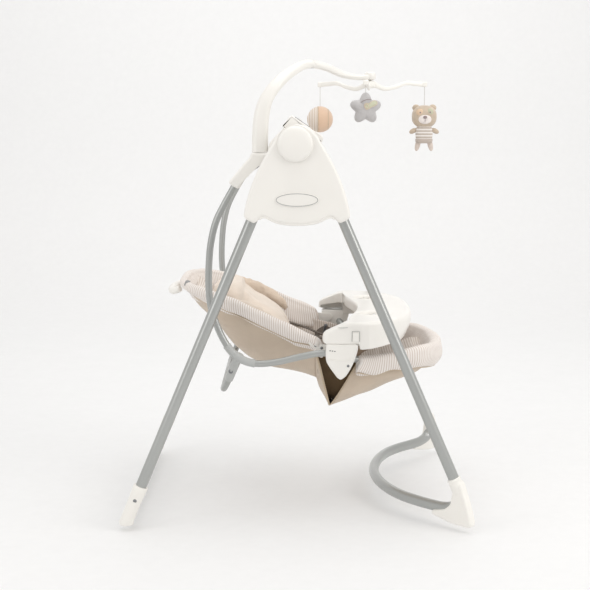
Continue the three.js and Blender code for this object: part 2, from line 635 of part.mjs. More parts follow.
function toyPlace(step) {
  const angle = THREE.MathUtils.degToRad(MOBILE_TURN + step);
  return { x: MOBILE_HUB.x + MOBILE_REACH * Math.cos(angle), y: MOBILE_HUB.y + MOBILE_REACH * Math.sin(angle) };
}

function toyCord({ x, y }, low) {
  return rod(vec(x, y, TOY_PIVOT_Z), vec(x, y, low), 1.2, 8);
}

function ball(place) {
  const radius = 33;
  const geometry = new THREE.SphereGeometry(radius, 14, 8);
  geometry.rotateX(Math.PI / 2);
  geometry.translate(place.x, place.y, 930);
  return union(manifoldOf(geometry), toyCord(place, 955));
}

function star(place) {
  const centreZ = 958;
  const outline = [];
  for (let i = 0; i < 30; i += 1) {
    const angle = (2 * Math.PI * i) / 30;
    const reach = 31 + 7 * Math.cos(5 * (angle - Math.PI / 2));
    outline.push([place.x + reach * Math.cos(angle), centreZ + reach * Math.sin(angle)]);
  }
  return union(plateXZ(outline, place.y - 14, place.y + 14), toyCord(place, 990));
}

function ballAt(place, dx, z, rx, ry, rz) {
  const geometry = new THREE.SphereGeometry(1, 8, 5);
  geometry.scale(rx, ry, rz);
  geometry.translate(place.x + dx, place.y, z);
  return manifoldOf(geometry);
}

function bear(place) {
  const head = ballAt(place, 0, 942, 30, 22, 29);
  const ears = [-19, 19].map((dx) => ballAt(place, dx, 965, 8, 6, 7));
  const body = ballAt(place, 0, 893, 24, 17, 28);
  const arms = [-28, 28].map((dx) => ballAt(place, dx, 902, 10, 7, 9));
  const legs = [-15, 15].map((dx) => ballAt(place, dx, 866, 8, 8, 15));
  return union(head, body, ...ears, ...arms, ...legs, toyCord(place, 962));
}

function addMobile() {
  addMesh('mobile_arm', mobileArm(), 'white');
  addMesh('mobile_spider', spider(), 'white');
  addMesh('toy_bear', bear(toyPlace(0)), 'bear');
  addMesh('toy_ball', ball(toyPlace(120)), 'peach');
  addMesh('toy_star', star(toyPlace(240)), 'lilac');
}

// ---- assembly -----------------------------------------------------------------------------------
addLegs();
addPair('front_foot', frontFoot(), 'white');
addPair('rear_foot', rearFoot(), 'white');
addHousings();
addDrive();
addPod();
addPivots();
addSwingFrame();
addSeat();
addBackrest();
addMesh('tray', tray(), 'white');
addMobile();

export default swing;
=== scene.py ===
"""Baby swing: the looks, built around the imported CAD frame. Metres, +X front, +Z up, near side -Y."""
import math

import bmesh
import bpy
import numpy as np
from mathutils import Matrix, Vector


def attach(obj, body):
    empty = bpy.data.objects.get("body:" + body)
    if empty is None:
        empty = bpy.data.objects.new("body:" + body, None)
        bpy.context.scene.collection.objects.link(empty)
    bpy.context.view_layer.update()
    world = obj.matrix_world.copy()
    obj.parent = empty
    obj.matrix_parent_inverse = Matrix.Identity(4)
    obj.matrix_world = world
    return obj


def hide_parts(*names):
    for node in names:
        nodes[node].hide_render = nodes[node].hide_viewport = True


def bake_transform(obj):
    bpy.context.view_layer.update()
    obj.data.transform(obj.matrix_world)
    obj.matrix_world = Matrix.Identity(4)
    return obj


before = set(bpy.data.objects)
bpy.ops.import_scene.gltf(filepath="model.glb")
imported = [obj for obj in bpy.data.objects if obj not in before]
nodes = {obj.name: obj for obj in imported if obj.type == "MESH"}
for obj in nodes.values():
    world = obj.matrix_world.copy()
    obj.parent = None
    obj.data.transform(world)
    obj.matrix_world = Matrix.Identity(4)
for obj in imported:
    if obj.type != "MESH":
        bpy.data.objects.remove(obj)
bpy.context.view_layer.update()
scene = bpy.context.scene

MM = 0.001
SIDES = {"near": -1, "far": 1}


# ---- camera ------------------------------------------------------------------------------------
# Fitted to the photograph, with the leg tubes taken as 25.4 mm: metres, degrees, and millimetres of lens.
CAMERA = {"at": (0.0, -3.313, 0.951), "tilt": 82.07, "pan": 0.087, "lens": 80.6}


def add_camera():
    data = bpy.data.cameras.new("camera")
    data.sensor_width = 36.0
    data.lens = CAMERA["lens"]
    camera = bpy.data.objects.new("camera", data)
    camera.location = CAMERA["at"]
    camera.rotation_euler = (math.radians(CAMERA["tilt"]), 0.0, math.radians(CAMERA["pan"]))
    scene.collection.objects.link(camera)
    scene.camera = camera


add_camera()


# ---- materials ---------------------------------------------------------------------------------
class Look:
    """A material with a node tree that is filled in step by step."""

    def __init__(self, name):
        self.material = bpy.data.materials.new(name)
        self.material.use_nodes = True
        self.tree = self.material.node_tree
        self.shader = self.tree.nodes["Principled BSDF"]
        self.place = self.node("ShaderNodeTexCoord").outputs["Object"]

    def node(self, kind, **values):
        made = self.tree.nodes.new(kind)
        for key, value in values.items():
            setattr(made, key, value)
        return made

    def link(self, output, target):
        self.tree.links.new(output, target)

    def scaled(self, vector, scale, turn=(0, 0, 0)):
        mapping = self.node("ShaderNodeMapping")
        mapping.inputs["Scale"].default_value = scale
        mapping.inputs["Rotation"].default_value = [math.radians(a) for a in turn]
        self.link(vector, mapping.inputs["Vector"])
        return mapping.outputs["Vector"]

    def noise(self, scale, detail=3.0, vector=None, roughness=0.5):
        made = self.node("ShaderNodeTexNoise")
        made.inputs["Scale"].default_value = scale
        made.inputs["Detail"].default_value = detail
        made.inputs["Roughness"].default_value = roughness
        self.link(vector or self.place, made.inputs["Vector"])
        return made.outputs["Fac"]

    def wave(self, axis, pitch, vector=None, distortion=0.0):
        """Bands across one axis; pitch is the length of one band in metres."""
        made = self.node("ShaderNodeTexWave", wave_type="BANDS", bands_direction=axis)
        made.inputs["Scale"].default_value = 2 * math.pi / (20 * pitch)
        made.inputs["Distortion"].default_value = distortion
        self.link(vector or self.place, made.inputs["Vector"])
        return made.outputs["Fac"]

    def ramp(self, value, low, high, out_low=0.0, out_high=1.0):
        made = self.node("ShaderNodeMapRange")
        for socket, number in zip(made.inputs[1:5], (low, high, out_low, out_high)):
            socket.default_value = number
        self.link(value, made.inputs["Value"])
        return made.outputs["Result"]

    def maths(self, operation, a, b):
        made = self.node("ShaderNodeMath", operation=operation)
        for socket, value in zip(made.inputs, (a, b)):
            if isinstance(value, (int, float)):
                socket.default_value = value
            else:
                self.link(value, socket)
        return made.outputs[0]

    def mix(self, factor, a, b, blend="MIX"):
        made = self.node("ShaderNodeMix", data_type="RGBA", blend_type=blend)
        for socket, value in zip((made.inputs[0], made.inputs[6], made.inputs[7]), (factor, a, b)):
            if isinstance(value, (int, float)):
                socket.default_value = value
            elif isinstance(value, tuple):
                socket.default_value = (*value, 1.0)
            else:
                self.link(value, socket)
        return made.outputs[2]

    def bump(self, height, strength, distance, under=None):
        made = self.node("ShaderNodeBump")
        made.inputs["Strength"].default_value = strength
        made.inputs["Distance"].default_value = distance
        self.link(height, made.inputs["Height"])
        if under:
            self.link(under, made.inputs["Normal"])
        return made.outputs["Normal"]

    def finish(self, color, roughness, normal, **fixed):
        if isinstance(color, tuple):
            self.shader.inputs["Base Color"].default_value = (*color, 1.0)
        else:
            self.link(color, self.shader.inputs["Base Color"])
        self.link(roughness, self.shader.inputs["Roughness"])
        if normal:
            self.link(normal, self.shader.inputs["Normal"])
        for name, value in fixed.items():
            self.shader.inputs[name.replace("_", " ")].default_value = value
        return self.material


def shade(color, factor):
    return tuple(min(1.0, c * factor) for c in color)


def plastic(name, color, roughness=0.32, grain=0.12, coat=0.25):
    """Moulded plastic: a faint orange peel, a little colour drift, and scuffs in the gloss."""
    look = Look(name)
    drift = look.noise(9.0, 2.0)
    tint = look.mix(look.ramp(drift, 0.35, 0.7), shade(color, 0.975), shade(color, 1.012))
    scuffs = look.noise(260.0, 4.0, look.scaled(look.place, (1.0, 1.0, 0.18)))
    gloss = look.ramp(scuffs, 0.3, 0.75, roughness - 0.04, roughness + 0.09)
    peel = look.bump(look.noise(520.0, 2.0), grain, 0.00025)
    broad = look.bump(look.noise(38.0, 2.0), 0.05, 0.0012, peel)
    return look.finish(tint, gloss, broad, Coat_Weight=coat, Coat_Roughness=0.18, IOR=1.48)


def lacquered_tube(name, color):
    """Powder-painted steel tube, with fine spatter, a slightly uneven gloss and a satin coat."""
    look = Look(name)
    drift = look.noise(5.0, 2.0)
    base = look.mix(look.ramp(drift, 0.3, 0.7), shade(color, 0.94), shade(color, 1.05))
    specks = look.ramp(look.noise(900.0, 2.0), 0.52, 0.74)
    speckled = look.mix(look.maths("MULTIPLY", specks, 0.25), base, shade(color, 1.35))
    uneven = look.noise(30.0, 3.0)
    gloss = look.ramp(uneven, 0.3, 0.8, 0.30, 0.36)
    peel = look.bump(look.noise(700.0, 3.0), 0.16, 0.0002)
    return look.finish(speckled, gloss, peel, Metallic=0.55, Coat_Weight=0.35, Coat_Roughness=0.22)


def bare_metal(name, color, roughness=0.28):
    """Turned or rolled metal with fine lines round it."""
    look = Look(name)
    lines = look.noise(1400.0, 2.0, look.scaled(look.place, (0.08, 1.0, 0.08)))
    tint = look.mix(look.ramp(look.noise(60.0), 0.35, 0.7), shade(color, 0.86), color)
    gloss = look.ramp(lines, 0.3, 0.8, roughness, roughness + 0.18)
    return look.finish(tint, gloss, look.bump(lines, 0.2, 0.0002), Metallic=1.0)


def weave_normal(look, pitch, strength, depth, under=None):
    """Plain weave: two crossing thread directions, seen from any side."""
    warp = look.wave("DIAGONAL", pitch)
    weft = look.wave("DIAGONAL", pitch, look.scaled(look.place, (1, -1, 1)))
    threads = look.maths("MULTIPLY", warp, weft)
    return threads, look.bump(threads, strength, depth, under)


def cloth(name, color, pitch=0.0016, creases=0.5, sheen=0.25):
    """Brushed polyester: weave, soft mottling, and shallow creases."""
    look = Look(name)
    stretched = look.scaled(look.place, (1.0, 0.35, 1.6), (0, 25, 12))
    folds = look.noise(26.0, 4.0, stretched, 0.6)
    crease = look.bump(folds, creases, 0.006)
    threads, normal = weave_normal(look, pitch, 0.35, 0.0004, crease)
    mottle = look.ramp(look.noise(14.0, 4.0), 0.3, 0.7)
    base = look.mix(mottle, shade(color, 0.93), shade(color, 1.05))
    woven = look.mix(look.maths("MULTIPLY", threads, 0.22), base, shade(color, 1.25))
    fuzz = look.ramp(look.noise(800.0, 2.0), 0.3, 0.7, 0.82, 0.98)
    return look.finish(woven, fuzz, normal, Sheen_Weight=sheen, Sheen_Roughness=0.6, IOR=1.35)


def striped_cloth(name, ground, line, pitch=0.0058, share=0.42, axis=None, soften=0.55):
    """Seersucker: narrow raised stripes across the length that the piece's own coordinate gives."""
    look = Look(name)
    if axis is None:
        along = look.node("ShaderNodeAttribute", attribute_name="along").outputs["Fac"]
        wobble = look.ramp(look.noise(60.0, 2.0), 0.0, 1.0, -0.0004, 0.0004)
        turns = look.maths("MULTIPLY", look.maths("ADD", along, wobble), 2 * math.pi / pitch)
        wave = look.ramp(look.maths("SINE", turns, 0.0), -1.0, 1.0)
    else:
        wave = look.wave(axis, pitch, distortion=0.15)
    band = look.ramp(wave, share, share + 0.3)
    folds = look.noise(22.0, 4.0, look.scaled(look.place, (1.0, 0.6, 1.2)))
    crease = look.bump(folds, 0.3, 0.004)
    raised = look.bump(wave, 0.25, 0.0006, crease)
    threads, normal = weave_normal(look, 0.0012, 0.25, 0.0003, raised)
    dye = look.mix(look.ramp(look.noise(30.0), 0.3, 0.7), shade(line, 0.94), shade(line, 1.06))
    striped = look.mix(look.maths("MULTIPLY", band, soften), ground, dye)
    woven = look.mix(look.maths("MULTIPLY", threads, 0.1), striped, shade(ground, 1.05))
    fuzz = look.ramp(look.noise(700.0, 2.0), 0.3, 0.7, 0.8, 0.97)
    return look.finish(woven, fuzz, normal, Sheen_Weight=0.2, Sheen_Roughness=0.6, IOR=1.35)


def ribbed_webbing(name, color):
    """Narrow woven strap with ribs across it."""
    look = Look(name)
    ribs = look.wave("X", 0.0024, look.scaled(look.place, (1, 1, 1), (0, 30, 20)))
    tint = look.mix(look.ramp(ribs, 0.2, 0.9), shade(color, 0.55), shade(color, 1.35))
    fuzz = look.ramp(look.noise(600.0), 0.3, 0.7, 0.75, 0.95)
    return look.finish(tint, fuzz, look.bump(ribs, 0.6, 0.0006), Sheen_Weight=0.15)


def plush(name, color, pile=0.5):
    """Short velour pile."""
    look = Look(name)
    pile_noise = look.noise(900.0, 3.0)
    nap = look.ramp(look.noise(70.0, 4.0), 0.3, 0.7)
    tint = look.mix(nap, shade(color, 0.86), shade(color, 1.08))
    tufts = look.mix(look.maths("MULTIPLY", pile_noise, 0.35), tint, shade(color, 1.2))
    fuzz = look.ramp(pile_noise, 0.3, 0.7, 0.85, 1.0)
    lumps = look.bump(look.noise(120.0, 3.0), 0.35, 0.0015)
    normal = look.bump(pile_noise, pile, 0.0006, lumps)
    return look.finish(tufts, fuzz, normal, Sheen_Weight=0.5, Sheen_Roughness=0.5)


def printed_board(name):
    """Solder mask with thin tracks and bright pads."""
    look = Look(name)
    tracks = look.maths("MULTIPLY", look.wave("X", 0.004), look.wave("Z", 0.0065))
    copper = look.ramp(tracks, 0.55, 0.6)
    tint = look.mix(copper, (0.02, 0.16, 0.07), (0.12, 0.32, 0.14))
    gloss = look.ramp(look.noise(200.0), 0.3, 0.7, 0.25, 0.4)
    return look.finish(tint, gloss, look.bump(copper, 0.4, 0.0002))


WHITE = plastic("white_plastic_moulded", (0.86, 0.84, 0.80))
WHITE_SOFT = plastic("white_plastic_soft", (0.88, 0.86, 0.815), 0.38)
SHADE_GREY = plastic("grey_plastic_moulded", (0.46, 0.47, 0.46), 0.42, 0.2, 0.1)
DARK = plastic("dark_plastic_moulded", (0.07, 0.07, 0.075), 0.5, 0.3, 0.0)
PANEL_GREY = plastic("panel_plastic", (0.30, 0.30, 0.32), 0.45, 0.3, 0.05)
BADGE_GREY = plastic("badge_print", (0.40, 0.41, 0.40), 0.5, 0.1, 0.1)
TUBE = lacquered_tube("painted_tube", (0.40, 0.41, 0.40))
STEEL = bare_metal("bright_steel", (0.62, 0.63, 0.65))
ZINC = bare_metal("zinc_fasteners", (0.30, 0.31, 0.32), 0.35)
BRASS = bare_metal("sintered_bronze", (0.55, 0.42, 0.20), 0.4)
BOARD = printed_board("circuit_board_lacquer")
CELLS = plastic("battery_wrap", (0.20, 0.15, 0.07), 0.35, 0.3, 0.3)
TAN = cloth("tan_polyester", (0.56, 0.465, 0.37))
# Lit copy of the tan cloth: a paler tan painted on the pillow and the near wing, which face the light.
TAN_LIT = cloth("tan_painted_lit", (0.74, 0.64, 0.545), 0.0014, 0.35, 0.4)
# Shaded copy of the tan cloth: a darker tan painted on the far wing, which lies in shade; the star's
# stitching is this colour too.
TAN_SHADED_AND_STITCH = cloth("tan_painted_shade_and_stitch", (0.66, 0.545, 0.44), 0.0015, 0.9, 0.3)
BINDING = cloth("tan_binding", (0.52, 0.42, 0.30), 0.0009, 0.15, 0.2)
STRIPE = striped_cloth("pinstripe_fabric", (0.83, 0.79, 0.755), (0.50, 0.385, 0.315))
STRIPE_WING = striped_cloth("pinstripe_wing", (0.74, 0.685, 0.635), (0.42, 0.32, 0.25), axis="X", soften=0.6)
WEBBING = ribbed_webbing("harness_webbing", (0.085, 0.06, 0.04))
WEBBING_PALE = ribbed_webbing("pale_webbing", (0.62, 0.57, 0.50))
# Painted shade: a near-black brown that stands for the shadowed inside of the pocket.
PAINTED_SHADE_BROWN = cloth("brown_painted_shade", (0.105, 0.065, 0.03), 0.0015, 0.4, 0.1)
BEAR = plush("bear_velour", (0.55, 0.455, 0.355))
BEAR_PALE = plush("bear_muzzle_velour", (0.80, 0.74, 0.71), 0.35)
BEAR_PATCH = plush("bear_orange_velour", (0.66, 0.49, 0.345))
BEAR_LEG = plush("bear_leg_velour", (0.66, 0.57, 0.51))
BEAR_DARK = plush("bear_nose_velour", (0.30, 0.24, 0.235), 0.3)
SHIRT = striped_cloth("bear_shirt_knit", (0.80, 0.76, 0.72), (0.44, 0.36, 0.30), 0.0078, axis="Z",
                      soften=0.85)
SHIRT_HEM = cloth("bear_hem_knit", (0.50, 0.43, 0.38), 0.0012, 0.2, 0.3)
PEACH = cloth("ball_peach_knit", (0.70, 0.50, 0.36), 0.0012, 0.1, 0.4)
BALL_STRIPE = striped_cloth("ball_stripe_knit", (0.80, 0.74, 0.68), (0.52, 0.38, 0.26), 0.0042, axis="X",
                            soften=0.8)
LILAC = plush("star_velour", (0.49, 0.475, 0.475))
PALE_GREEN = plush("star_patch_felt", (0.54, 0.54, 0.40), 0.3)
CORD = cloth("toy_cord", (0.62, 0.60, 0.57), 0.0008, 0.0, 0.1)
# Painted shade: a darker tan for the seat sling's inner faces, which lie in shade.
TAN_SHADE = cloth("tan_painted_shade_inside", (0.36, 0.27, 0.20), 0.0015, 0.5, 0.2)
SHADE_CLOTH = cloth("grey_tab_cloth", (0.33, 0.33, 0.33), 0.001, 0.1, 0.1)


# ---- mesh making -------------------------------------------------------------------------------
def make_mesh(name, vertices, faces, material, smooth=True):
    mesh = bpy.data.meshes.new(name)
    mesh.from_pydata([tuple(v) for v in vertices], [], faces)
    mesh.validate()
    built = bmesh.new()
    built.from_mesh(mesh)
    bmesh.ops.recalc_face_normals(built, faces=built.faces)
    built.to_mesh(mesh)
    built.free()
    for polygon in mesh.polygons:
        polygon.use_smooth = smooth
    mesh.materials.append(material)
    piece = bpy.data.objects.new(name, mesh)
    scene.collection.objects.link(piece)
    return piece


def settle(piece, body, slot, *replaced):
    """Makes a piece ride on its body and hides the CAD nodes that it stands for; its slot is not used."""
    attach(piece, body)
    if replaced:
        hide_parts(*replaced)
    return piece


def sharp_shade(piece, angle=35):
    """Smooth shading that keeps edges sharper than the angle."""
    built = bmesh.new()
    built.from_mesh(piece.data)
    for edge in built.edges:
        if len(edge.link_faces) == 2 and edge.calc_face_angle(0.0) > math.radians(angle):
            edge.smooth = False
    built.to_mesh(piece.data)
    built.free()
    return piece


def curve_through(points, count, closed=False):
    """Evenly spaced points on the centripetal Catmull-Rom curve through the points."""
    given = np.array(points, float)
    if closed:
        given = np.vstack([given[-1], given, given[0], given[1]])
    else:
        given = np.vstack([2 * given[0] - given[1], given, 2 * given[-1] - given[-2]])
    dense = []
    for p0, p1, p2, p3 in zip(given, given[1:], given[2:], given[3:]):
        gaps = [max(np.linalg.norm(b - a), 1e-9) ** 0.5 for a, b in ((p0, p1), (p1, p2), (p2, p3))]
        into = ((p1 - p0) / gaps[0] - (p2 - p0) / (gaps[0] + gaps[1]) + (p2 - p1) / gaps[1]) * gaps[1]
        out = ((p2 - p1) / gaps[1] - (p3 - p1) / (gaps[1] + gaps[2]) + (p3 - p2) / gaps[2]) * gaps[1]
        t = np.linspace(0, 1, 24, endpoint=False)[:, None]
        cubic = (2 * p1 - 2 * p2 + into + out) * t**3 + (3 * p2 - 3 * p1 - 2 * into - out) * t**2
        dense.append(cubic + into * t + p1)
    line = np.vstack([*dense, given[-2][None]])
    return spaced(line, count, closed)


def distances_along(line):
    """How far along the line each of its points lies."""
    return np.concatenate([[0], np.cumsum(np.linalg.norm(np.diff(line, axis=0), axis=1))])


def spaced(line, count, closed=False):
    """The same line with points an equal distance apart."""
    lengths = distances_along(line)
    marks = np.linspace(0, lengths[-1], count, endpoint=not closed)
    return np.stack([np.interp(marks, lengths, line[:, k]) for k in range(line.shape[1])], axis=1)


def unit(v):
    v = np.asarray(v, float)
    return v / max(np.linalg.norm(v), 1e-12)


def circle(count):
    """Evenly spaced angles round a full turn."""
    return np.linspace(0, 2 * math.pi, count, endpoint=False)


def squarish(angles, power):
    """Cosines and sines of the angles, filled out towards a square's corners when power is below 1."""
    cos, sin = np.cos(angles), np.sin(angles)
    return np.sign(cos) * np.abs(cos) ** power, np.sign(sin) * np.abs(sin) ** power


def rotated_about_y(points, angle):
    c, s = math.cos(angle), math.sin(angle)
    x, y, z = points.T
    return np.stack([x * c + z * s, y, z * c - x * s], 1)


def unit_tangents(line):
    tangents = np.gradient(line, axis=0)
    return tangents / np.linalg.norm(tangents, axis=1, keepdims=True)


def points_of(piece):
    return np.array([v.co for v in piece.data.vertices])


def set_points(piece, points):
    piece.data.vertices.foreach_set("co", points.astype(np.float32).ravel())


def shade_smooth(piece):
    for polygon in piece.data.polygons:
        polygon.use_smooth = True


def frames_along(line):
    """Tangent and two cross directions at each point, carried along without twisting."""
    tangents = unit_tangents(line)
    first = unit(np.cross(tangents[0], (0, 0, 1) if abs(tangents[0][2]) < 0.9 else (0, 1, 0)))
    rows = []
    for tangent in tangents:
        first = unit(first - tangent * np.dot(first, tangent))
        rows.append((tangent, first, np.cross(tangent, first)))
    return rows


def loft_faces(rings, count, closed_rings=True, caps=True):
    faces = []
    around = count if closed_rings else count - 1
    for r in range(rings - 1):
        for i in range(around):
            a, b = r * count + i, r * count + (i + 1) % count
            faces.append((a, b, b + count, a + count))
    if caps:
        faces.append(tuple(range(count - 1, -1, -1)))
        faces.append(tuple(range((rings - 1) * count, rings * count)))
    return faces


def loft(name, rings, material, caps=True):
    count = len(rings[0])
    return make_mesh(name, np.vstack(rings), loft_faces(len(rings), count, caps=caps), material)


def tube(name, line, radius, material, sides=28, flat=1.0):
    """A round bar with slightly rounded ends along a line of points. radius may vary along it."""
    line = np.asarray(line, float)
    radii = np.broadcast_to(np.asarray(radius, float), (len(line),))
    rows = frames_along(line)
    angles = circle(sides)
    rings = []
    for (_, a, b), point, r in zip(rows, line, radii):
        rings.append(point + r * (np.cos(angles)[:, None] * a + flat * np.sin(angles)[:, None] * b))
    ends = []
    for index, way in ((0, -1), (-1, 1)):
        tangent, a, b = rows[index]
        r = radii[index]
        lip = []
        for inset, reach in ((0.12, 0.1), (0.4, 0.22)):
            size = r * (1 - inset)
            edge = np.cos(angles)[:, None] * a + flat * np.sin(angles)[:, None] * b
            lip.append(line[index] + tangent * way * reach * r + size * edge)
        ends.append(lip)
    rings = ends[0][::-1] + rings + ends[1]
    return sharp_shade(loft(name, rings, material), 50)


def offset_outline(outline, distance):
    """Moves a closed 2-D outline inwards by the distance (either winding)."""
    ahead, behind = np.roll(outline, -1, axis=0), np.roll(outline, 1, axis=0)
    along = ahead - behind
    along /= np.linalg.norm(along, axis=1)[:, None] + 1e-12
    area = np.sum(outline[:, 0] * ahead[:, 1] - ahead[:, 0] * outline[:, 1])
    inward = np.stack([-along[:, 1], along[:, 0]], axis=1) * (1 if area > 0 else -1)
    return outline + inward * distance


def pillowed_plate(name, outline, back, front, material, front_edge, back_edge=0.001, crown=0.0, place=None):
    """An outline in two axes given depth, with quarter-round edges and a slightly crowned face.

    place(u, v, w) turns outline coordinates and depth w into a point; by default it is (u, w, v).
    """
    place = place or (lambda u, v, w: (u, w, v))
    outward = 1 if front > back else -1
    levels = []
    for t in np.linspace(0, 1, 4):
        angle = t * math.pi / 2
        levels.append((back_edge * (1 - math.sin(angle)), back + outward * back_edge * (1 - math.cos(angle))))
    for t in np.linspace(0, 1, 8):
        angle = t * math.pi / 2
        levels.append((front_edge * (1 - math.cos(angle)),
                       front - outward * front_edge * (1 - math.sin(angle))))
    rings = []
    for inset, depth in levels:
        ring = offset_outline(outline, inset)
        rings.append([place(u, v, depth) for u, v in ring])
    face = offset_outline(outline, front_edge)
    centre = face.mean(axis=0)
    for t in (0.12, 0.3, 0.55, 0.8):
        ring = face * (1 - t) + centre * t
        lift = crown * (1 - (1 - t) ** 2)
        rings.append([place(u, v, front + outward * lift) for u, v in ring])
    rings = [np.array(ring) for ring in rings]
    return sharp_shade(loft(name, rings, material), 50)


def join_pieces(name, pieces, material=None):
    """Several meshes as one object, keeping their materials unless one is given."""
    bpy.ops.object.select_all(action="DESELECT")
    for piece in pieces:
        piece.select_set(True)
    bpy.context.view_layer.objects.active = pieces[0]
    bpy.ops.object.join()
    whole = pieces[0]
    whole.name = name
    whole.data.name = name
    if material:
        whole.data.materials.clear()
        whole.data.materials.append(material)
    return whole


def apply_modifier(piece, modifier):
    with bpy.context.temp_override(object=piece, active_object=piece, selected_objects=[piece]):
        bpy.ops.object.modifier_apply(modifier=modifier.name)


def fuse(piece, voxel, smooth=6):
    """One skin round the piece's own overlapping solids, with softened joins."""
    remesh = piece.modifiers.new("fuse", "REMESH")
    remesh.mode = "VOXEL"
    remesh.voxel_size = voxel
    remesh.use_smooth_shade = True
    apply_modifier(piece, remesh)
    soften = piece.modifiers.new("soften", "SMOOTH")
    soften.factor = 0.5
    soften.iterations = smooth
    apply_modifier(piece, soften)
    shade_smooth(piece)
    return piece


def rounded_box(name, centre, size, radius, material, turn=0.0):
    """A box with rounded edges; turn is a rotation about Y in radians."""
    built = bmesh.new()
    bmesh.ops.create_cube(built, size=1.0)
    bmesh.ops.scale(built, vec=size, verts=built.verts)
    bmesh.ops.bevel(built, geom=built.edges[:], offset=radius, segments=4, profile=0.5, affect="EDGES")
    mesh = bpy.data.meshes.new(name)
    built.to_mesh(mesh)
    built.free()
    mesh.materials.append(material)
    piece = bpy.data.objects.new(name, mesh)
    scene.collection.objects.link(piece)
    set_points(piece, rotated_about_y(points_of(piece), turn) + np.array(centre))
    shade_smooth(piece)
    return sharp_shade(piece, 60)


def turned(name, profile, centre, axis, material, sides=48):
    """A profile of (radius, height) turned about an axis direction through the centre."""
    axis = unit(axis)
    a = unit(np.cross(axis, (0, 0, 1) if abs(axis[2]) < 0.9 else (1, 0, 0)))
    b = np.cross(axis, a)
    angles = circle(sides)
    rings = []
    for radius, height in profile:
        radius = max(radius, 0.00015)
        spokes = np.cos(angles)[:, None] * a + np.sin(angles)[:, None] * b
        rings.append(np.array(centre) + axis * height + radius * spokes)
    return sharp_shade(loft(name, rings, material), 40)


def screw_head(name, centre, axis, radius=0.0042, material=None):
    """A pan head with a cross recess pressed into it."""
    profile = [(radius * 0.98, -0.001), (radius, 0.0), (radius * 0.9, 0.0009), (radius * 0.62, 0.0016)]
    profile += [(radius * 0.5, 0.0017), (radius * 0.34, 0.0006), (radius * 0.2, 0.0002), (0.0, 0.0001)]
    return turned(name, profile, centre, axis, material or ZINC, 20)


def mm(*values):
    return np.array(values, float) * MM


def mm_points(points):
    return np.array(points, float) * MM


def mirrored_list(points, side):
    """Points with positive y put on the given side."""
    return [(x, side * y, z) for x, y, z in points]


def mirrored(points, side):
    """Near-side points as they are, or their mirror image on the far side."""
    return np.array(points, float) * (1, -side, 1)


# ---- stand: tubes ------------------------------------------------------------------------------
FRONT_LEG = {"top": (104, 327, 707), "slope": (0.4326, 0.0297)}
REAR_LEG = {"top": (-104, 327, 702), "slope": (-0.4205, 0.0292)}
LEG_RADIUS = 12.7 * MM
HANGER_RADIUS = 8 * MM
LEG_TOP_Z = 775


def leg_point(leg, z, side=-1):
    """A point of a leg's axis at the height z, in millimetres."""
    x, y, top = leg["top"]
    down = top - z
    return (x + down * leg["slope"][0], side * (y + down * leg["slope"][1]), z)


FRONT_BASE_NEAR = [
    leg_point(FRONT_LEG, 94), leg_point(FRONT_LEG, 80), (376, -342.5, 58), (366, -333, 40), (346, -313, 31),
    (320, -287, 29), (283, -248, 29), (250, -203, 29), (222, -140, 29), (205, -70, 29),
]
REAR_BAR = {"x": -386, "z": 26, "half": 334}


def round_trip(near, middle):
    """A near-side half, a middle point, and the half's mirror image."""
    return [*near, middle, *[(x, -y, z) for x, y, z in reversed(near)]]


def add_stand_tubes():
    for side_name, side in SIDES.items():
        for kind, leg, low in (("front", FRONT_LEG, 94.5), ("rear", REAR_LEG, 42)):
            ends = mm_points([leg_point(leg, LEG_TOP_Z, side), leg_point(leg, low, side)])
            line = np.linspace(ends[0], ends[1], 12)
            piece = tube(f"{side_name}_{kind}_leg_tube", line, LEG_RADIUS, TUBE, 40)
            settle(piece, "stand", "grey_tube", f"{side_name}_{kind}_leg")
    line = curve_through(mm_points(round_trip(FRONT_BASE_NEAR, (199, 0, 29))), 150)
    settle(tube("front_base_bend", line, LEG_RADIUS, TUBE, 40), "stand", "grey_tube", "front_base_tube")
    ends = mm_points([(REAR_BAR["x"], s * REAR_BAR["half"], REAR_BAR["z"]) for s in (-1, 1)])
    bar = tube("rear_base_bar", np.linspace(ends[0], ends[1], 12), LEG_RADIUS, TUBE, 40)
    settle(bar, "stand", "grey_tube", "rear_base_tube")


# ---- stand: feet -------------------------------------------------------------------------------
FOOT_HEADING = (0.72, 0.69)
FOOT_ORIGIN = (369, 343)
FOOT_PROFILE = [
    (-64, 13), (-46, 8.4), (-20, 3.2), (5, 0.6), (28, 0.2), (43, 0.6), (49, 5), (49, 16), (44.5, 33),
    (36, 58), (26, 82), (17.5, 101), (9, 106), (1, 104), (-4, 88), (-7, 66), (-12, 46), (-28, 32),
    (-48, 26), (-63, 21.5),
]


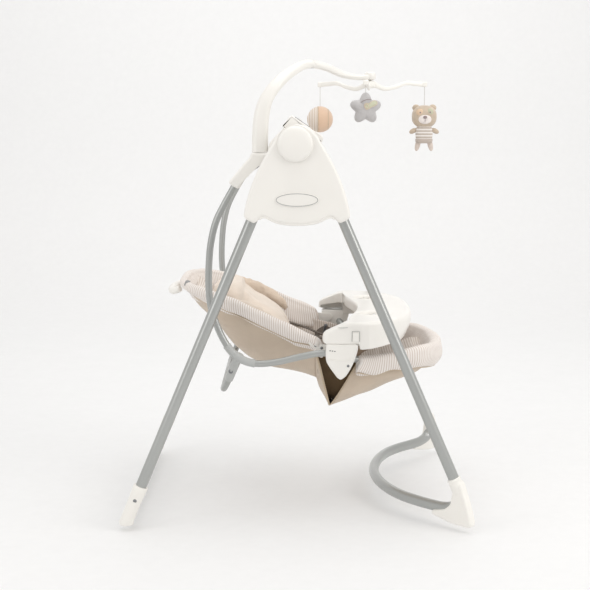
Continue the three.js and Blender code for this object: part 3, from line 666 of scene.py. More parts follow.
def front_foot(side_name, side):
    """A fin that follows the bend of the tube, with a collar round the leg."""
    profile = curve_through(mm_points(FOOT_PROFILE), 96, closed=True)
    heading = np.array((FOOT_HEADING[0], side * FOOT_HEADING[1]))
    across = np.array((FOOT_HEADING[1], -side * FOOT_HEADING[0]))
    origin = np.array((FOOT_ORIGIN[0], side * FOOT_ORIGIN[1])) * MM

    def place(u, v, w):
        flat = origin + heading * u + across * w
        return (flat[0], flat[1], v)

    half = 11 * MM
    fin = pillowed_plate("fin", profile, -half, half, WHITE_SOFT, 5 * MM, 5 * MM, 0.8 * MM, place)
    ends = mm_points([leg_point(FRONT_LEG, 106, side), leg_point(FRONT_LEG, 74, side)])
    collar = tube("collar", np.linspace(ends[0], ends[1], 8), [0.0153, 0.0156] + [0.0157] * 5 + [0.014],
                  WHITE_SOFT, 40)
    foot = fuse(join_pieces(f"{side_name}_front_foot_shell", [fin, collar], WHITE_SOFT), 1.3 * MM, 5)
    set_points(foot, np.maximum(points_of(foot), (-np.inf, -np.inf, 0.0)))
    settle(foot, "stand", "white_plastic", f"{side_name}_front_foot")
    rim_at = mm_points([leg_point(FRONT_LEG, z, side) for z in (108.2, 104.6)])
    rim = tube(f"{side_name}_front_foot_rim", np.linspace(rim_at[0], rim_at[1], 4), 15.9 * MM, WHITE_SOFT, 40)
    settle(rim, "stand", "white_plastic")


def rear_foot(side_name, side):
    """A boot round the end of the leg, cut level where it meets the floor."""
    # Height, half width in x and in y, and how much the level leans.
    levels = [
        (91, 15.4, 15.4, 0.40), (88.5, 16.1, 16.1, 0.40), (80, 16.0, 16.0, 0.36), (62, 16.0, 16.2, 0.22),
        (44, 16.2, 16.6, 0.1), (24, 16.9, 17.4, 0.0), (8, 17.3, 18.0, 0.0), (3, 17.1, 17.9, 0.0),
        (1, 16.4, 17.2, 0.0), (0, 15.4, 16.3, 0.0),
    ]
    angles = circle(48)
    rings = []
    for z, rx, ry, lean in levels:
        axis = leg_point(REAR_LEG, max(z, 8), side)
        x, y = rx * np.cos(angles), ry * np.sin(angles)
        rings.append(mm_points(np.stack([axis[0] + x, axis[1] + y, z - x * lean], axis=1)))
    boot = sharp_shade(loft(f"{side_name}_rear_foot_boot", rings[::-1], WHITE_SOFT), 50)
    settle(boot, "stand", "white_plastic", f"{side_name}_rear_foot")


def snap_button(name, leg, z, side, radius=3.2):
    """The spring button that shows through the side of a collar."""
    at = mm(*leg_point(leg, z, side))
    out = np.array((0.0, side, 0.0))
    surface = at + out * 15.6 * MM
    profile = [(radius + 1.2, -0.0006), (radius + 1.2, 0.0004), (radius + 0.4, 0.0008), (radius, 0.0004)]
    profile += [(radius * 0.92, 0.0012), (radius * 0.6, 0.0021), (0, 0.0024)]
    profile = [(r * MM if r > 0.01 else r, h) for r, h in profile]
    settle(turned(name, profile, surface, out, ZINC, 28), "stand", "steel")


def add_feet():
    for side_name, side in SIDES.items():
        front_foot(side_name, side)
        rear_foot(side_name, side)
        snap_button(f"{side_name}_rear_snap_button", REAR_LEG, 60, side)


# ---- housings ----------------------------------------------------------------------------------
HOUSING_HALF = [
    (0, 698), (22, 698.9), (44, 702.6), (60, 708.8), (70, 714.2), (76, 715.8), (83, 712.5), (91, 704.6),
    (97, 701.8), (106, 705.2), (113.5, 709.5), (118.6, 715), (119.2, 722), (115.5, 741), (108, 769),
    (97.5, 798), (85, 826), (69.5, 855), (55, 880), (44.5, 897), (35, 908), (22, 916), (10, 920),
    (0, 921),
]
POD_SPLIT = {"x": -46, "z": 912, "fall": 0.4068}
PIVOT = (-4, 878)


def housing_outline():
    half = np.array(HOUSING_HALF, float)
    left = half[1:-1][::-1] * (-1, 1)
    return curve_through(np.vstack([half, left]) * MM, 260, closed=True)


def split_height(x):
    """The height of the line where the control pod sits on the motor housing, in millimetres."""
    return POD_SPLIT["z"] - (x - POD_SPLIT["x"]) * POD_SPLIT["fall"]


def below_split(outline):
    """Cuts an outline at the control pod's sloping line."""
    lowered = outline.copy()
    lowered[:, 1] = np.minimum(lowered[:, 1], split_height(outline[:, 0] / MM) * MM)
    return lowered


# How far from the middle plane each half of a housing starts and ends, in metres.
COVER_DEPTH = (0.3252, 0.3598)
INNER_DEPTH = (0.3248, 0.2902)
HOUSING_EDGES = (7.5 * MM, 1.2 * MM)


def add_housings():
    outline = housing_outline()
    lowered = below_split(outline)
    for side_name, side, shape, prefix in (("near", -1, outline, "idler"), ("far", 1, lowered, "motor")):
        for part, (start, end), crown in (("cover", COVER_DEPTH, 0.2 * MM), ("inner", INNER_DEPTH, 0.0)):
            half = pillowed_plate(f"{prefix}_housing_{part}_shell", shape, side * start, side * end, WHITE,
                                  *HOUSING_EDGES, crown)
            settle(half, "stand", "white_plastic", f"{prefix}_housing_{part}")
        lip_points = curve_through(np.array([(x, 0, z - 1.5) for x, z in lip_line()], float) * MM, 90)
        lip_points[:, 1] = side * 0.3555
        lip = tube(f"{prefix}_housing_lip", lip_points, 2.6 * MM, WHITE, 16)
        settle(lip, "stand", "white_plastic")
        add_cap(side_name, side)
    add_badge()
    add_motor_side()


def lip_line():
    """The rolled lower edge between the two leg sockets."""
    half = [(84, 712.8), (76, 716.6), (68, 714.8), (56, 708.8), (40, 703.2), (20, 700.4)]
    return [(-x, z) for x, z in half] + [(0, 699.6)] + half[::-1]


def add_cap(side_name, side):
    """The round dome over a pivot, on a shallow seat ring."""
    profile = [(42.5, -0.6), (42.5, 0.5), (41.4, 1.0), (40.2, 0.7), (39.9, 3.2), (39.2, 6.2), (37.6, 8.4),
               (34.5, 10.2)]
    profile += [(29, 11.7), (22, 12.6), (14, 13.1), (6, 13.3), (0, 13.35)]
    centre = mm(PIVOT[0], side * COVER_DEPTH[1] / MM, PIVOT[1])
    cap = turned(f"{side_name}_pivot_dome", np.array(profile) * MM, centre, (0, side, 0), WHITE, 96)
    settle(cap, "stand", "white_plastic", f"{side_name}_pivot_cap")


def ellipse_outline(cx, cz, rx, rz, count=96):
    angles = circle(count)
    return np.stack([cx + rx * np.cos(angles), cz + rz * np.sin(angles)], axis=1) * MM


def add_badge():
    """A blank raised oval with a grey outline printed on it."""
    oval = pillowed_plate("oval_badge_plate", ellipse_outline(0, 754, 49, 16), -0.3595, -0.3621, WHITE,
                          1.4 * MM, 0.2 * MM, 0.3 * MM)
    settle(oval, "stand", "white_plastic", "oval_badge")
    ring = np.insert(ellipse_outline(0, 754, 46.6, 14.0), 1, -0.36215, axis=1)
    closed = np.vstack([ring, ring[:2]])
    settle(tube("oval_badge_ring", closed, 0.75 * MM, BADGE_GREY, 10), "stand", "grey_plastic")


POD_FACE = {"x": 28.5, "z": 910.5, "y": 325, "tilt": math.radians(34.77)}
BUTTONS = (("speed_button", -26), ("timer_button", 0), ("sound_button", 26))


def pod_point(along, across, up):
    """A point given from the middle of the pod's sloping face, in millimetres."""
    c, s = math.cos(POD_FACE["tilt"]), math.sin(POD_FACE["tilt"])
    return mm(POD_FACE["x"] + along * c + up * s, POD_FACE["y"] + across, POD_FACE["z"] - along * s + up * c)


def add_motor_side():
    gap = 0.3
    corners = [*[(x, split_height(x) + gap) for x in (-41, 15, 67)], (70, 873), (71, 881), (64.5, 888),
               (28.5, 910.8), (-6, 934), (-14, 939.4), (-20, 936)]
    dense = spaced(np.array([*corners, corners[0]]) * MM, 180, closed=True)
    pod = pillowed_plate("control_pod_shell", dense, 0.2903, 0.3597, WHITE, 3.5 * MM, 3.5 * MM, 0.3 * MM)
    settle(pod, "stand", "white_plastic", "control_pod")
    c, s = math.cos(POD_FACE["tilt"]), math.sin(POD_FACE["tilt"])

    def on_face(u, v, w):
        return tuple(pod_point(u / MM, v / MM, w / MM))

    corner = 8
    half_long, half_wide = 42, 23
    arcs = []
    for cx, cy, start in ((1, 1, 0), (-1, 1, 90), (-1, -1, 180), (1, -1, 270)):
        for step in range(9):
            angle = math.radians(start + step * 11.25)
            along = cx * (half_long - corner) + corner * math.cos(angle)
            arcs.append((along, cy * (half_wide - corner) + corner * math.sin(angle)))
    panel = pillowed_plate("control_panel_plate", np.array(arcs) * MM, 0.2 * MM, 1.6 * MM, PANEL_GREY,
                           0.6 * MM, 0.1 * MM, 0.0, on_face)
    settle(panel, "stand", "dark_plastic", "control_panel")
    profile = [(6.3, -3), (6.4, 2.0), (6.2, 3.0), (5.6, 3.6), (4.2, 3.5), (2.4, 3.2), (0, 3.1)]
    for name, along in BUTTONS:
        button = turned(f"{name}_key", np.array(profile) * MM, pod_point(along, 0, 0), (s, 0, c),
                        WHITE_SOFT, 40)
        settle(button, name, "white_plastic", name)
    door = rounded_box("battery_door_cover", mm(0, 291.0, 735), mm(91.6, 2.4, 33.6), 0.9 * MM, WHITE_SOFT)
    settle(door, "stand", "white_plastic", "battery_door")
    for step in range(5):
        rib = rounded_box(f"battery_door_rib_{step + 1}", mm(-12 + step * 6, 289.9, 747), mm(2.2, 1.0, 6),
                          0.4 * MM, WHITE_SOFT)
        settle(rib, "stand", "white_plastic")


HOUSING_SCREWS = [(-62, 738), (62, 738), (-48, 812), (48, 812), (-4, 903)]


def add_housing_screws():
    """The screws that hold each inner shell, seen from the middle of the swing."""
    for side_name, side in SIDES.items():
        for number, (x, z) in enumerate(HOUSING_SCREWS, 1):
            if side > 0 and z > 890:
                continue
            head = screw_head(f"{side_name}_housing_screw_{number}", mm(x, side * 290.1, z), (0, -side, 0),
                              0.0038)
            settle(head, "stand", "steel")


add_stand_tubes()
add_feet()
add_housings()
add_housing_screws()


# ---- swinging frame ----------------------------------------------------------------------------
HANGER_Y = 270
HANGER_LINE = [
    (-142, 783), (-168, 737), (-187, 698), (-199, 650), (-204, 600), (-205, 545), (-200, 497), (-189, 461),
    (-173, 424), (-152, 392), (-126, 373), (-96, 365), (-51, 368), (7, 381), (49, 389), (84, 390),
]
CROSS_NEAR = [(-142.4, -260.8, 367.8), (-158, -236, 330), (-170, -214, 302), (-176, -190, 289),
              (-177, -150, 286)]
ELBOW_OUTLINE = [
    (-156, 789), (-146, 779), (-133, 775), (-121, 793), (-104, 812), (-84, 828), (-64, 838), (-46, 844),
    (-12, 848), (8, 852), (20, 864), (25, 878), (20, 892), (8, 904), (-8, 908), (-24, 906), (-40, 899),
    (-55, 888), (-64, 875), (-66.5, 866), (-67.5, 858.5), (-70, 856.6), (-85, 856.6), (-102, 856.6),
    (-105, 854), (-109, 846), (-126, 827), (-143, 806),
]
SEAT_RIM_NEAR = [
    (112, -264, 385), (116, -251, 382), (132, -235, 370), (180, -214, 364), (240, -196, 372),
    (300, -170, 381), (336, -110, 379),
]
BACK_RIM_NEAR = [
    (38, -237, 413), (-20, -233, 442), (-88, -224, 473), (-150, -212, 500), (-205, -195, 517),
    (-250, -160, 527), (-276, -90, 531),
]


def hanger_line(side, count=120):
    return curve_through(mm_points([(x, side * HANGER_Y, z) for x, z in HANGER_LINE]), count)


def add_swing_tubes():
    for side_name, side in SIDES.items():
        piece = tube(f"{side_name}_hanger_bend", hanger_line(side), HANGER_RADIUS, TUBE, 32)
        settle(piece, "swing", "grey_tube", f"{side_name}_hanger_tube")
        outer_end, inner_end, bush_end = (mm(PIVOT[0], side * y, PIVOT[1]) for y in (340, 266.5, 298))
        shaft = tube(f"{side_name}_pivot_pin", np.linspace(outer_end, inner_end, 8), HANGER_RADIUS, STEEL, 36)
        settle(shaft, "swing", "steel", f"{side_name}_pivot_shaft")
        ring = [(8.25, 0), (12.6, 0), (13, 0.4), (13, 10.6), (12.6, 11), (8.25, 11)]
        bush = turned(f"{side_name}_pivot_bush_ring", np.array(ring) * MM, bush_end, (0, -side, 0), BRASS, 48)
        settle(bush, "stand", "dark_plastic", f"{side_name}_pivot_bush")
    line = curve_through(mm_points(round_trip(CROSS_NEAR, (-177, 0, 286))), 130)
    settle(tube("cross_tube_bend", line, HANGER_RADIUS, TUBE, 32), "swing", "grey_tube", "cross_tube")
    line = curve_through(mm_points(round_trip(SEAT_RIM_NEAR, (346, 0, 377))), 130)
    settle(tube("seat_frame_bend", line, HANGER_RADIUS, TUBE, 28), "swing", "grey_tube", "seat_frame_tube")
    line = curve_through(mm_points(round_trip(BACK_RIM_NEAR, (-281, 0, 532))), 130)
    settle(tube("back_frame_bend", line, HANGER_RADIUS, TUBE, 28), "backrest", "grey_tube", "back_frame_tube")


def add_elbows():
    outline = curve_through(np.array(ELBOW_OUTLINE, float) * MM, 200, closed=True)
    for side_name, side in SIDES.items():
        body = pillowed_plate(f"{side_name}_elbow_shell", outline, side * 0.2562, side * 0.2838, WHITE,
                              6.5 * MM, 6.5 * MM, 0.4 * MM)
        settle(body, "swing", "white_plastic", f"{side_name}_elbow")
        # A dark grey line along the elbow's lower edge: painted shadow under that edge.
        inner_curve = [(-137, 781), (-118, 800.5), (-97, 818.5), (-70, 834.5), (-44, 844)]
        shadow_line_points = curve_through(mm_points([(x, side * 278, z - 0.3) for x, z in inner_curve]), 50)
        seam = tube(f"{side_name}_elbow_shadow_line", shadow_line_points, 0.75 * MM, PANEL_GREY, 8)
        settle(seam, "swing", "dark_plastic")
        head = screw_head(f"{side_name}_elbow_screw", mm(-118, side * 255.9, 812), (0, -side, 0), 0.004)
        settle(head, "swing", "steel")


def add_tees():
    """A sleeve on each hanger tube, with a branch that holds the cross tube and a bolt through it."""
    for side_name, side in SIDES.items():
        hanger = hanger_line(side, 400)
        marks = np.array([(-163, 407), (-97, 365)]) * MM
        ends = [int(np.argmin(np.hypot(hanger[:, 0] - m[0], hanger[:, 2] - m[1]))) for m in marks]
        sleeve_line = spaced(hanger[ends[0]:ends[1]], 40)
        t = np.linspace(0, 1, 40)
        swell = 9.5 + 0.5 * ((t < 0.05) | (t > 0.95)) + 0.6 * np.exp(-((t - 0.5) / 0.2) ** 2)
        sleeve = tube("sleeve", sleeve_line, swell * MM, SHADE_GREY, 36)
        branch_points = [(-133, -270, 384), CROSS_NEAR[0], CROSS_NEAR[1], (-162, -229, 320)]
        branch_line = curve_through(mirrored(mm_points(branch_points), side), 30)
        taper = np.linspace(10.8, 10.4, 30) * MM
        branch = tube("branch", branch_line, taper, SHADE_GREY, 36)
        body = fuse(join_pieces(f"{side_name}_tee_shell", [sleeve, branch], SHADE_GREY), 1.1 * MM, 4)
        settle(body, "swing", "grey_plastic", f"{side_name}_tee_bracket")
        middle = branch_line[18]
        out = unit(np.array((-0.35, side * 1.0, -0.1)))
        boss_profile = [(5.4, 8.5), (5.4, 11.4), (4.8, 12.1), (3.6, 11.9), (3.4, 10.9), (1.2, 10.6),
                        (0, 10.6)]
        bolt = turned(f"{side_name}_tee_bolt", np.array(boss_profile) * MM, middle, out, ZINC, 32)
        settle(bolt, "swing", "steel")


# ---- hubs and hinge ears -----------------------------------------------------------------------
HUB_OUTLINE = [
    (67.5, 404), (67, 388), (68.5, 373), (76, 359), (86, 345), (95, 333.5), (102, 330), (112, 336),
    (122, 350), (132, 370), (139, 390), (142.2, 404), (141.8, 410.5), (139, 413), (105, 413), (71, 413),
    (68, 410.5),
]


def add_hubs():
    outline = spaced(curve_through(np.array(HUB_OUTLINE) * MM, 220, closed=True), 220, closed=True)
    for side_name, side in SIDES.items():
        body = pillowed_plate(f"{side_name}_hub_shell", outline, side * 0.2522, side * 0.2898, WHITE,
                              4.5 * MM, 3 * MM, 0.9 * MM)
        settle(body, "swing", "white_plastic", f"{side_name}_seat_hub")
        rib_points = [(73, 290.3, 378.5), (95, 290.6, 376.5), (118, 290.6, 377), (134, 289.8, 380.5)]
        rib_line = curve_through(mm_points(mirrored_list(rib_points, side)), 30)
        rib = tube(f"{side_name}_hub_rib", rib_line, 0.9 * MM, WHITE_SOFT, 10)
        settle(rib, "swing", "white_plastic")
        for number, (x, z) in enumerate(((77, 399), (82.5, 398.4), (88, 397.6)), 1):
            slot = rounded_box(f"{side_name}_hub_slot_{number}", mm(x, side * 290.5, z), mm(3.2, 0.9, 1.9),
                               0.4 * MM, DARK)
            settle(slot, "swing", "dark_plastic")
        head = screw_head(f"{side_name}_hub_screw", mm(119, side * 289.9, 363), (0, side, 0), 0.0032)
        settle(head, "swing", "steel")


EAR_OUTLINE = [
    (28, 408), (34, 401), (48, 394), (66, 386), (80, 382.6), (91, 386), (97, 395), (93.5, 402), (85, 405),
    (74, 406), (60, 406.5), (47, 408), (36, 410.5), (29, 412), (26, 411),
]


def add_hinge_ears():
    outline = curve_through(np.array(EAR_OUTLINE) * MM, 120, closed=True)
    for side_name, side in SIDES.items():
        ear = pillowed_plate(f"{side_name}_hinge_plate", outline, side * 0.2464, side * 0.2514, WHITE_SOFT,
                             1.1 * MM, 0.8 * MM)
        settle(ear, "backrest", "white_plastic", f"{side_name}_back_hinge")
        for number, (x, z) in enumerate(((44, 404.5), (58, 398.5)), 1):
            head = screw_head(f"{side_name}_hinge_screw_{number}", mm(x, side * 251.6, z), (0, side, 0),
                              0.0036)
            settle(head, "backrest", "steel")


def add_recline_handle():
    points = [(-290, -74, 516), (-297, -70, 512), (-306, -60, 509), (-311, -30, 508), (-312, 0, 508)]
    near = mm_points(points)
    line = curve_through(np.vstack([near, mirrored(near[:-1], 1)[::-1]]), 90)
    ends = np.abs(line[:, 1]) / (74 * MM)
    radii = (9.0 + 2.6 * (1 - ends**2)) * MM
    grip = tube("recline_grip", line, radii, WHITE_SOFT, 32, 0.9)
    settle(grip, "recline_handle", "white_plastic", "recline_handle")


# ---- tray --------------------------------------------------------------------------------------
TRAY_TOP = 468
TRAY_EDGE = [
    (122, -232), (126, -243), (140, -248), (170, -249), (200, -245), (224, -233), (243, -214),
    (259, -184), (270, -150), (279, -110), (283, -70), (285, -35), (285.5, 0),
]
TRAY_BELLY = [(152, 0), (150, -40), (144.5, -84), (136.5, -125), (130, -162), (125, -200)]
CUP = {"x": 182, "y": 138, "radius": 33, "depth": 21}


def tray_top_height(x, y):
    """The deck rises a little towards the front rim and the sides, and dips in the two cup rings."""
    dish = 3.2 * np.clip((x - 150) / 130, 0, 1) ** 2
    distance = np.hypot(x - CUP["x"], np.abs(y) - CUP["y"])
    ring = 2.3 * np.exp(-((distance - CUP["radius"] - 5) / 4.0) ** 2)
    step = np.clip((distance - CUP["radius"] + 9) / 10.0, 0, 1)
    well = -(CUP["depth"] - 3) * (1 - step * step * (3 - 2 * step))
    return dish + ring + well


def skirt_low(x, y):
    """The lower edge of the tray's skirt, in millimetres: it sweeps down to the hubs at both sides."""
    side = np.clip((np.abs(y) - 90) / 130, 0, 1)
    front = np.clip((x - 150) / 120, 0, 1)
    return 405 - 2 * side + 9 * front * (1 - side) + 3 * front * side


def add_tray():
    """The deck is drawn as rings between the outer edge and the belly edge, so its surface can dip."""
    near_edge = np.array(TRAY_EDGE, float)
    edge = np.vstack([near_edge, (near_edge[:-1] * (1, -1))[::-1]])
    near_belly = np.array(TRAY_BELLY[::-1], float)
    belly = np.vstack([near_belly, (near_belly[:-1] * (1, -1))[::-1]])
    count = 230
    edge = spaced(curve_through(edge, 600), count)
    belly = spaced(curve_through(belly, 600), count)
    across = 72
    t = np.linspace(0, 1, across)
    grid = belly[:, None] * (1 - t)[None, :, None] + edge[:, None] * t[None, :, None]
    x, y = grid[..., 0], grid[..., 1]
    top = TRAY_TOP - 4 + tray_top_height(x, y)
    to_edge = np.hypot(*(grid - edge[:, None]).transpose(2, 0, 1))
    to_belly = np.hypot(*(grid - belly[:, None]).transpose(2, 0, 1))
    for distance, fillet in ((to_edge, 15.0), (to_belly, 6.0)):
        near = np.clip(1 - distance / fillet, 0, 1)
        top = top - fillet * (1 - np.sqrt(np.clip(1 - near**2, 0, 1))) * 0.9
    upper = np.dstack([x, y, top]) * MM
    low = skirt_low(x, y)
    rows = np.arange(count)
    loops = []
    for k in rows:
        down_edge = np.linspace(top[k, -1], low[k, -1], 9)[1:]
        lean = 14 * np.clip((edge[k][0] - 215) / 65, 0, 1)
        flare = 1.5 * np.sin(np.linspace(0, math.pi / 2, 8)) - lean * np.linspace(0, 1, 8) ** 1.6
        outward = unit(edge[k] - belly[k])
        skirt_outer = np.stack([edge[k][0] + outward[0] * flare, edge[k][1] + outward[1] * flare,
                                down_edge], 1)
        skirt_inner = skirt_outer[::-1] - np.append(outward * 3.0, 0)
        ceiling_t = np.linspace(0.97, 0.03, 40)
        ceiling = belly[k] * (1 - ceiling_t)[:, None] + edge[k] * ceiling_t[:, None]
        ceiling_z = np.interp(ceiling_t, t, top[k]) - 3.0
        ceiling = np.column_stack([ceiling, ceiling_z])
        down_belly = np.linspace(top[k, 0] - 5, 436, 6)
        inward = -outward
        inner_lip = np.column_stack([np.tile(belly[k] + outward * 3.0, (6, 1)), down_belly])
        outer_lip = np.column_stack([np.tile(belly[k] + inward * 0.4, (6, 1)), down_belly[::-1]])
        loop = np.vstack([upper[k] / MM, skirt_outer, skirt_inner, ceiling, inner_lip, outer_lip])
        loops.append(loop * MM)
    parts = [loft("deck", loops, WHITE)] + [tray_wing(side) for side in SIDES.values()]
    settle(fuse(join_pieces("tray_shell", parts, WHITE), 1.5 * MM, 7), "tray", "white_plastic", "tray")
    for side_name, side in SIDES.items():
        tray_latch(side_name, side)


# A row is x, the wing's inner y, its outer y, its lower z and its upper z.
TRAY_WING_ROWS = np.array([
    (59.3, 268, 281, 425, 429), (60.5, 261, 284, 420, 434), (63, 257, 285.6, 416, 438),
    (68, 254, 286.3, 413.8, 442), (80, 252.5, 286.6, 413.6, 447.5), (100, 250, 286.8, 413.6, 456),
    (114, 245, 286.8, 413.6, 461.8), (124, 234, 286.4, 413.6, 464), (134, 221, 285.6, 413.6, 464.5),
    (145, 214, 284.4, 413.6, 464.5), (145.8, 214, 284.2, 401, 464.5), (152, 214, 283, 399, 464.5),
    (168, 214, 277.5, 399.5, 464.5), (184, 214, 269, 401, 464.5), (200, 210, 258.5, 403, 464.5),
    (214, 205, 247.5, 405, 464.5), (228, 200, 234, 407, 464.5), (240, 190, 220, 409, 464.5),
])


def tray_wing(side):
    """The deck's arm at one side, with the wall that drops from it to the hub."""
    rings = []
    stops = np.unique(np.concatenate([np.linspace(59.3, 68, 10), np.linspace(68, 240, 88), (145, 145.8)]))
    for x in stops:
        near, far, low, high = (float(np.interp(x, TRAY_WING_ROWS[:, 0], column))
                                for column in TRAY_WING_ROWS[:, 1:].T)
        wall = min(4.0, (high - low) / 2.5)
        round_off = min(9.0, (far - near) / 2.5, (high - low) / 2.2)
        corner = [(far - round_off * (1 - math.sin(a)), high - round_off * (1 - math.cos(a)))
                  for a in np.linspace(0, math.pi / 2, 7)]
        lip = float(np.interp(x, (64, 118, 136, 146), (15, 29, 28, wall)))
        inner = [(y - wall * 0.9, z - wall * 0.75) for y, z in corner[::-1]]
        inner += [(near + 3.2, high - wall), (near + 3, high - lip)]
        section = [(near, high - lip), (near, high - 1.2), (near + 1.2, high)] + corner
        section += [(far, low + 1), (far - 1, low), (far - wall + 1, low), (far - wall, low + 1)]
        if x < 62.4:
            inner = [(near + 1, low + 1.5 - 0.1 * k) for k in range(len(inner))]
        section += inner
        rings.append(np.array([(x, side * y, z) for y, z in section]) * MM)
    return loft("wing", rings, WHITE)


def tray_latch(side_name, side):
    """A spring latch, framed by a thin line, where the wing meets the hub."""
    frame_points = [(128, 420), (128, 444), (145.5, 444), (145.5, 420)]
    line = mm_points([(x, side * 286.9, z) for x, z in frame_points])
    line = np.vstack([spaced(line[i:i + 2], 8)[:-1] for i in range(3)] + [line[-1:]])
    mark = tube(f"{side_name}_latch_line", line, 0.55 * MM, BADGE_GREY, 8)
    settle(mark, "tray", "grey_plastic")
    tab = rounded_box(f"{side_name}_latch_tab", mm(136.8, side * 286.2, 431), mm(14.4, 2.4, 21), 0.9 * MM,
                      WHITE_SOFT)
    settle(tab, "tray", "white_plastic")
    line = mm_points([(96, side * 286.9, 452.5), (107, side * 287.0, 452.3), (118, side * 286.9, 453)])
    mark = tube(f"{side_name}_wing_line", curve_through(line, 24), 0.5 * MM, BADGE_GREY, 8)
    settle(mark, "tray", "grey_plastic")


add_swing_tubes()
add_elbows()
add_tees()
add_hubs()
add_hinge_ears()
add_recline_handle()
add_tray()


# ---- cloth helpers -----------------------------------------------------------------------------
def ripple(points, size, seed):
    """Smooth, seeded unevenness made of a few waves, about -1 to 1; size is a wave's length in metres."""
    rng = np.random.default_rng(seed)
    total = np.zeros(len(points))
    for _ in range(7):
        way = unit(rng.normal(size=3))
        length = size * rng.uniform(0.6, 1.6)
        total += np.sin(points @ way * 2 * math.pi / length + rng.uniform(0, 2 * math.pi))
    return total / 3.2


def grid_normals(grid):
    """The direction that each point of a grid faces."""
    across = np.cross(np.gradient(grid, axis=0), np.gradient(grid, axis=1))
    return across / (np.linalg.norm(across, axis=2, keepdims=True) + 1e-12)


def shell(name, grid, thickness, outer, inner):
    """A sheet of cloth from a grid of points on its outer side, with its own thickness and lining."""
    rows, cols, _ = grid.shape
    back = grid - grid_normals(grid) * thickness
    vertices = np.vstack([grid.reshape(-1, 3), back.reshape(-1, 3)])
    half = rows * cols
    faces = []

    def at(r, c):
        return r * cols + c

    for r in range(rows - 1):
        for c in range(cols - 1):
            faces.append((at(r, c), at(r, c + 1), at(r + 1, c + 1), at(r + 1, c)))
    outer_count = len(faces)
    faces += [tuple(half + v for v in reversed(face)) for face in faces[:outer_count]]
    border = [at(0, c) for c in range(cols)] + [at(r, cols - 1) for r in range(1, rows)]
    border += [at(rows - 1, c) for c in range(cols - 2, -1, -1)] + [at(r, 0) for r in range(rows - 2, 0, -1)]
    for a, b in zip(border, border[1:] + border[:1]):
        faces.append((b, a, half + a, half + b))
    piece = make_mesh(name, vertices, faces, outer)
    piece.data.materials.append(inner)
    for index, polygon in enumerate(piece.data.polygons):
        polygon.material_index = 1 if index >= outer_count else 0
    return piece


def grid_area(grid):
    """The area of a grid of points, in square metres."""
    sides = np.cross(grid[1:, :-1] - grid[:-1, :-1], grid[:-1, 1:] - grid[:-1, :-1])
    return float(np.linalg.norm(sides, axis=2).sum())


def grid_sizes(grid):
    """Mean width and length of a grid, along its columns and its rows."""
    width = np.linalg.norm(np.diff(grid, axis=1), axis=2).sum(axis=1).mean()
    length = np.linalg.norm(np.diff(grid, axis=0), axis=2).sum(axis=0).max()
    return float(width), float(length)


def store_along(piece, values):
    """Keeps each point's distance along the piece, which the stripes follow."""
    layer = piece.data.attributes.new("along", "FLOAT", "POINT")
    layer.data.foreach_set("value", np.asarray(values, np.float32))


def inflate(piece, voxel, cap, pressure=4.0, frames=20):
    """Cloth simulation of a stuffed piece: it swells from its sewn shape, by no more than the cap."""
    remesh = piece.modifiers.new("remesh", "REMESH")
    remesh.mode = "VOXEL"
    remesh.voxel_size = voxel
    apply_modifier(piece, remesh)
    before = points_of(piece)
    cloth_modifier = piece.modifiers.new("cloth", "CLOTH")
    settings = cloth_modifier.settings
    settings.use_pressure = True
    settings.uniform_pressure_force = pressure
    settings.effector_weights.gravity = 0.0
    settings.quality = 5
    settings.mass = 0.25
    settings.tension_stiffness = 12
    settings.compression_stiffness = 12
    settings.bending_stiffness = 0.4
    for number in range(1, frames + 1):
        scene.frame_set(number)
    evaluated = piece.evaluated_get(bpy.context.evaluated_depsgraph_get())
    after = points_of(evaluated)
    piece.modifiers.remove(cloth_modifier)
    scene.frame_set(1)
    moved = after - before
    length = np.linalg.norm(moved, axis=1, keepdims=True)
    moved *= np.minimum(1.0, cap / np.maximum(length, 1e-9))
    set_points(piece, before + moved)
    smooth = piece.modifiers.new("smooth", "SMOOTH")
    smooth.factor = 0.5
    smooth.iterations = 3
    apply_modifier(piece, smooth)
    shade_smooth(piece)


def displace(piece, amount):
    """Moves each point along its normal by amount(points), given in metres."""
    points = points_of(piece)
    normals = np.array([v.normal for v in piece.data.vertices])
    set_points(piece, points + normals * amount(points)[:, None])
    piece.data.update()


# ---- slings: the tan cloth under the back and the seat -----------------------------------------
# A station is x at its top, its shift in x per mm below the top, its top and low z, and its two half widths.
BACK_STATIONS = [
    (43, 0.04, 408, 309, 235, 186), (10, 0, 420, 321, 233, 185), (-20, 0, 430, 328, 231, 184),
    (-88, 0, 461, 342, 221, 176), (-150, 0, 488, 385, 209, 168), (-200, 0, 505, 440, 193, 158),
    (-240, 0, 514, 480, 168, 138), (-264, 0, 520, 503, 132, 104), (-278, 0, 525, 516, 70, 52),
]
POCKET_STATIONS = [(43, 0.04, 402, 309, 233, 185), (43, 0.17, 400, 262, 231, 185),
                   (43, 0.222, 398, 240, 230, 186)]
LINING_STATIONS = [
    (37, 0.2, 396, 268, 222, 176), (74, 0.0, 390, 258, 207, 168), (112, -0.28, 380, 258, 203, 168),
    (154, -0.50, 362, 258, 206, 178),
]
SEAT_STATIONS = [
    (150, -0.57, 364, 240, 214, 187), (156, -0.40, 362, 252, 213, 186), (166, -0.2, 362, 266, 211, 184),
    (184, -0.03, 362, 275, 206, 181), (220, 0, 365, 288, 197, 173), (261, 0, 371, 303, 184, 163),
    (300, 0, 376, 320, 163, 147), (330, 0, 379, 338, 126, 110), (347, 0, 380, 352, 74, 60),
]


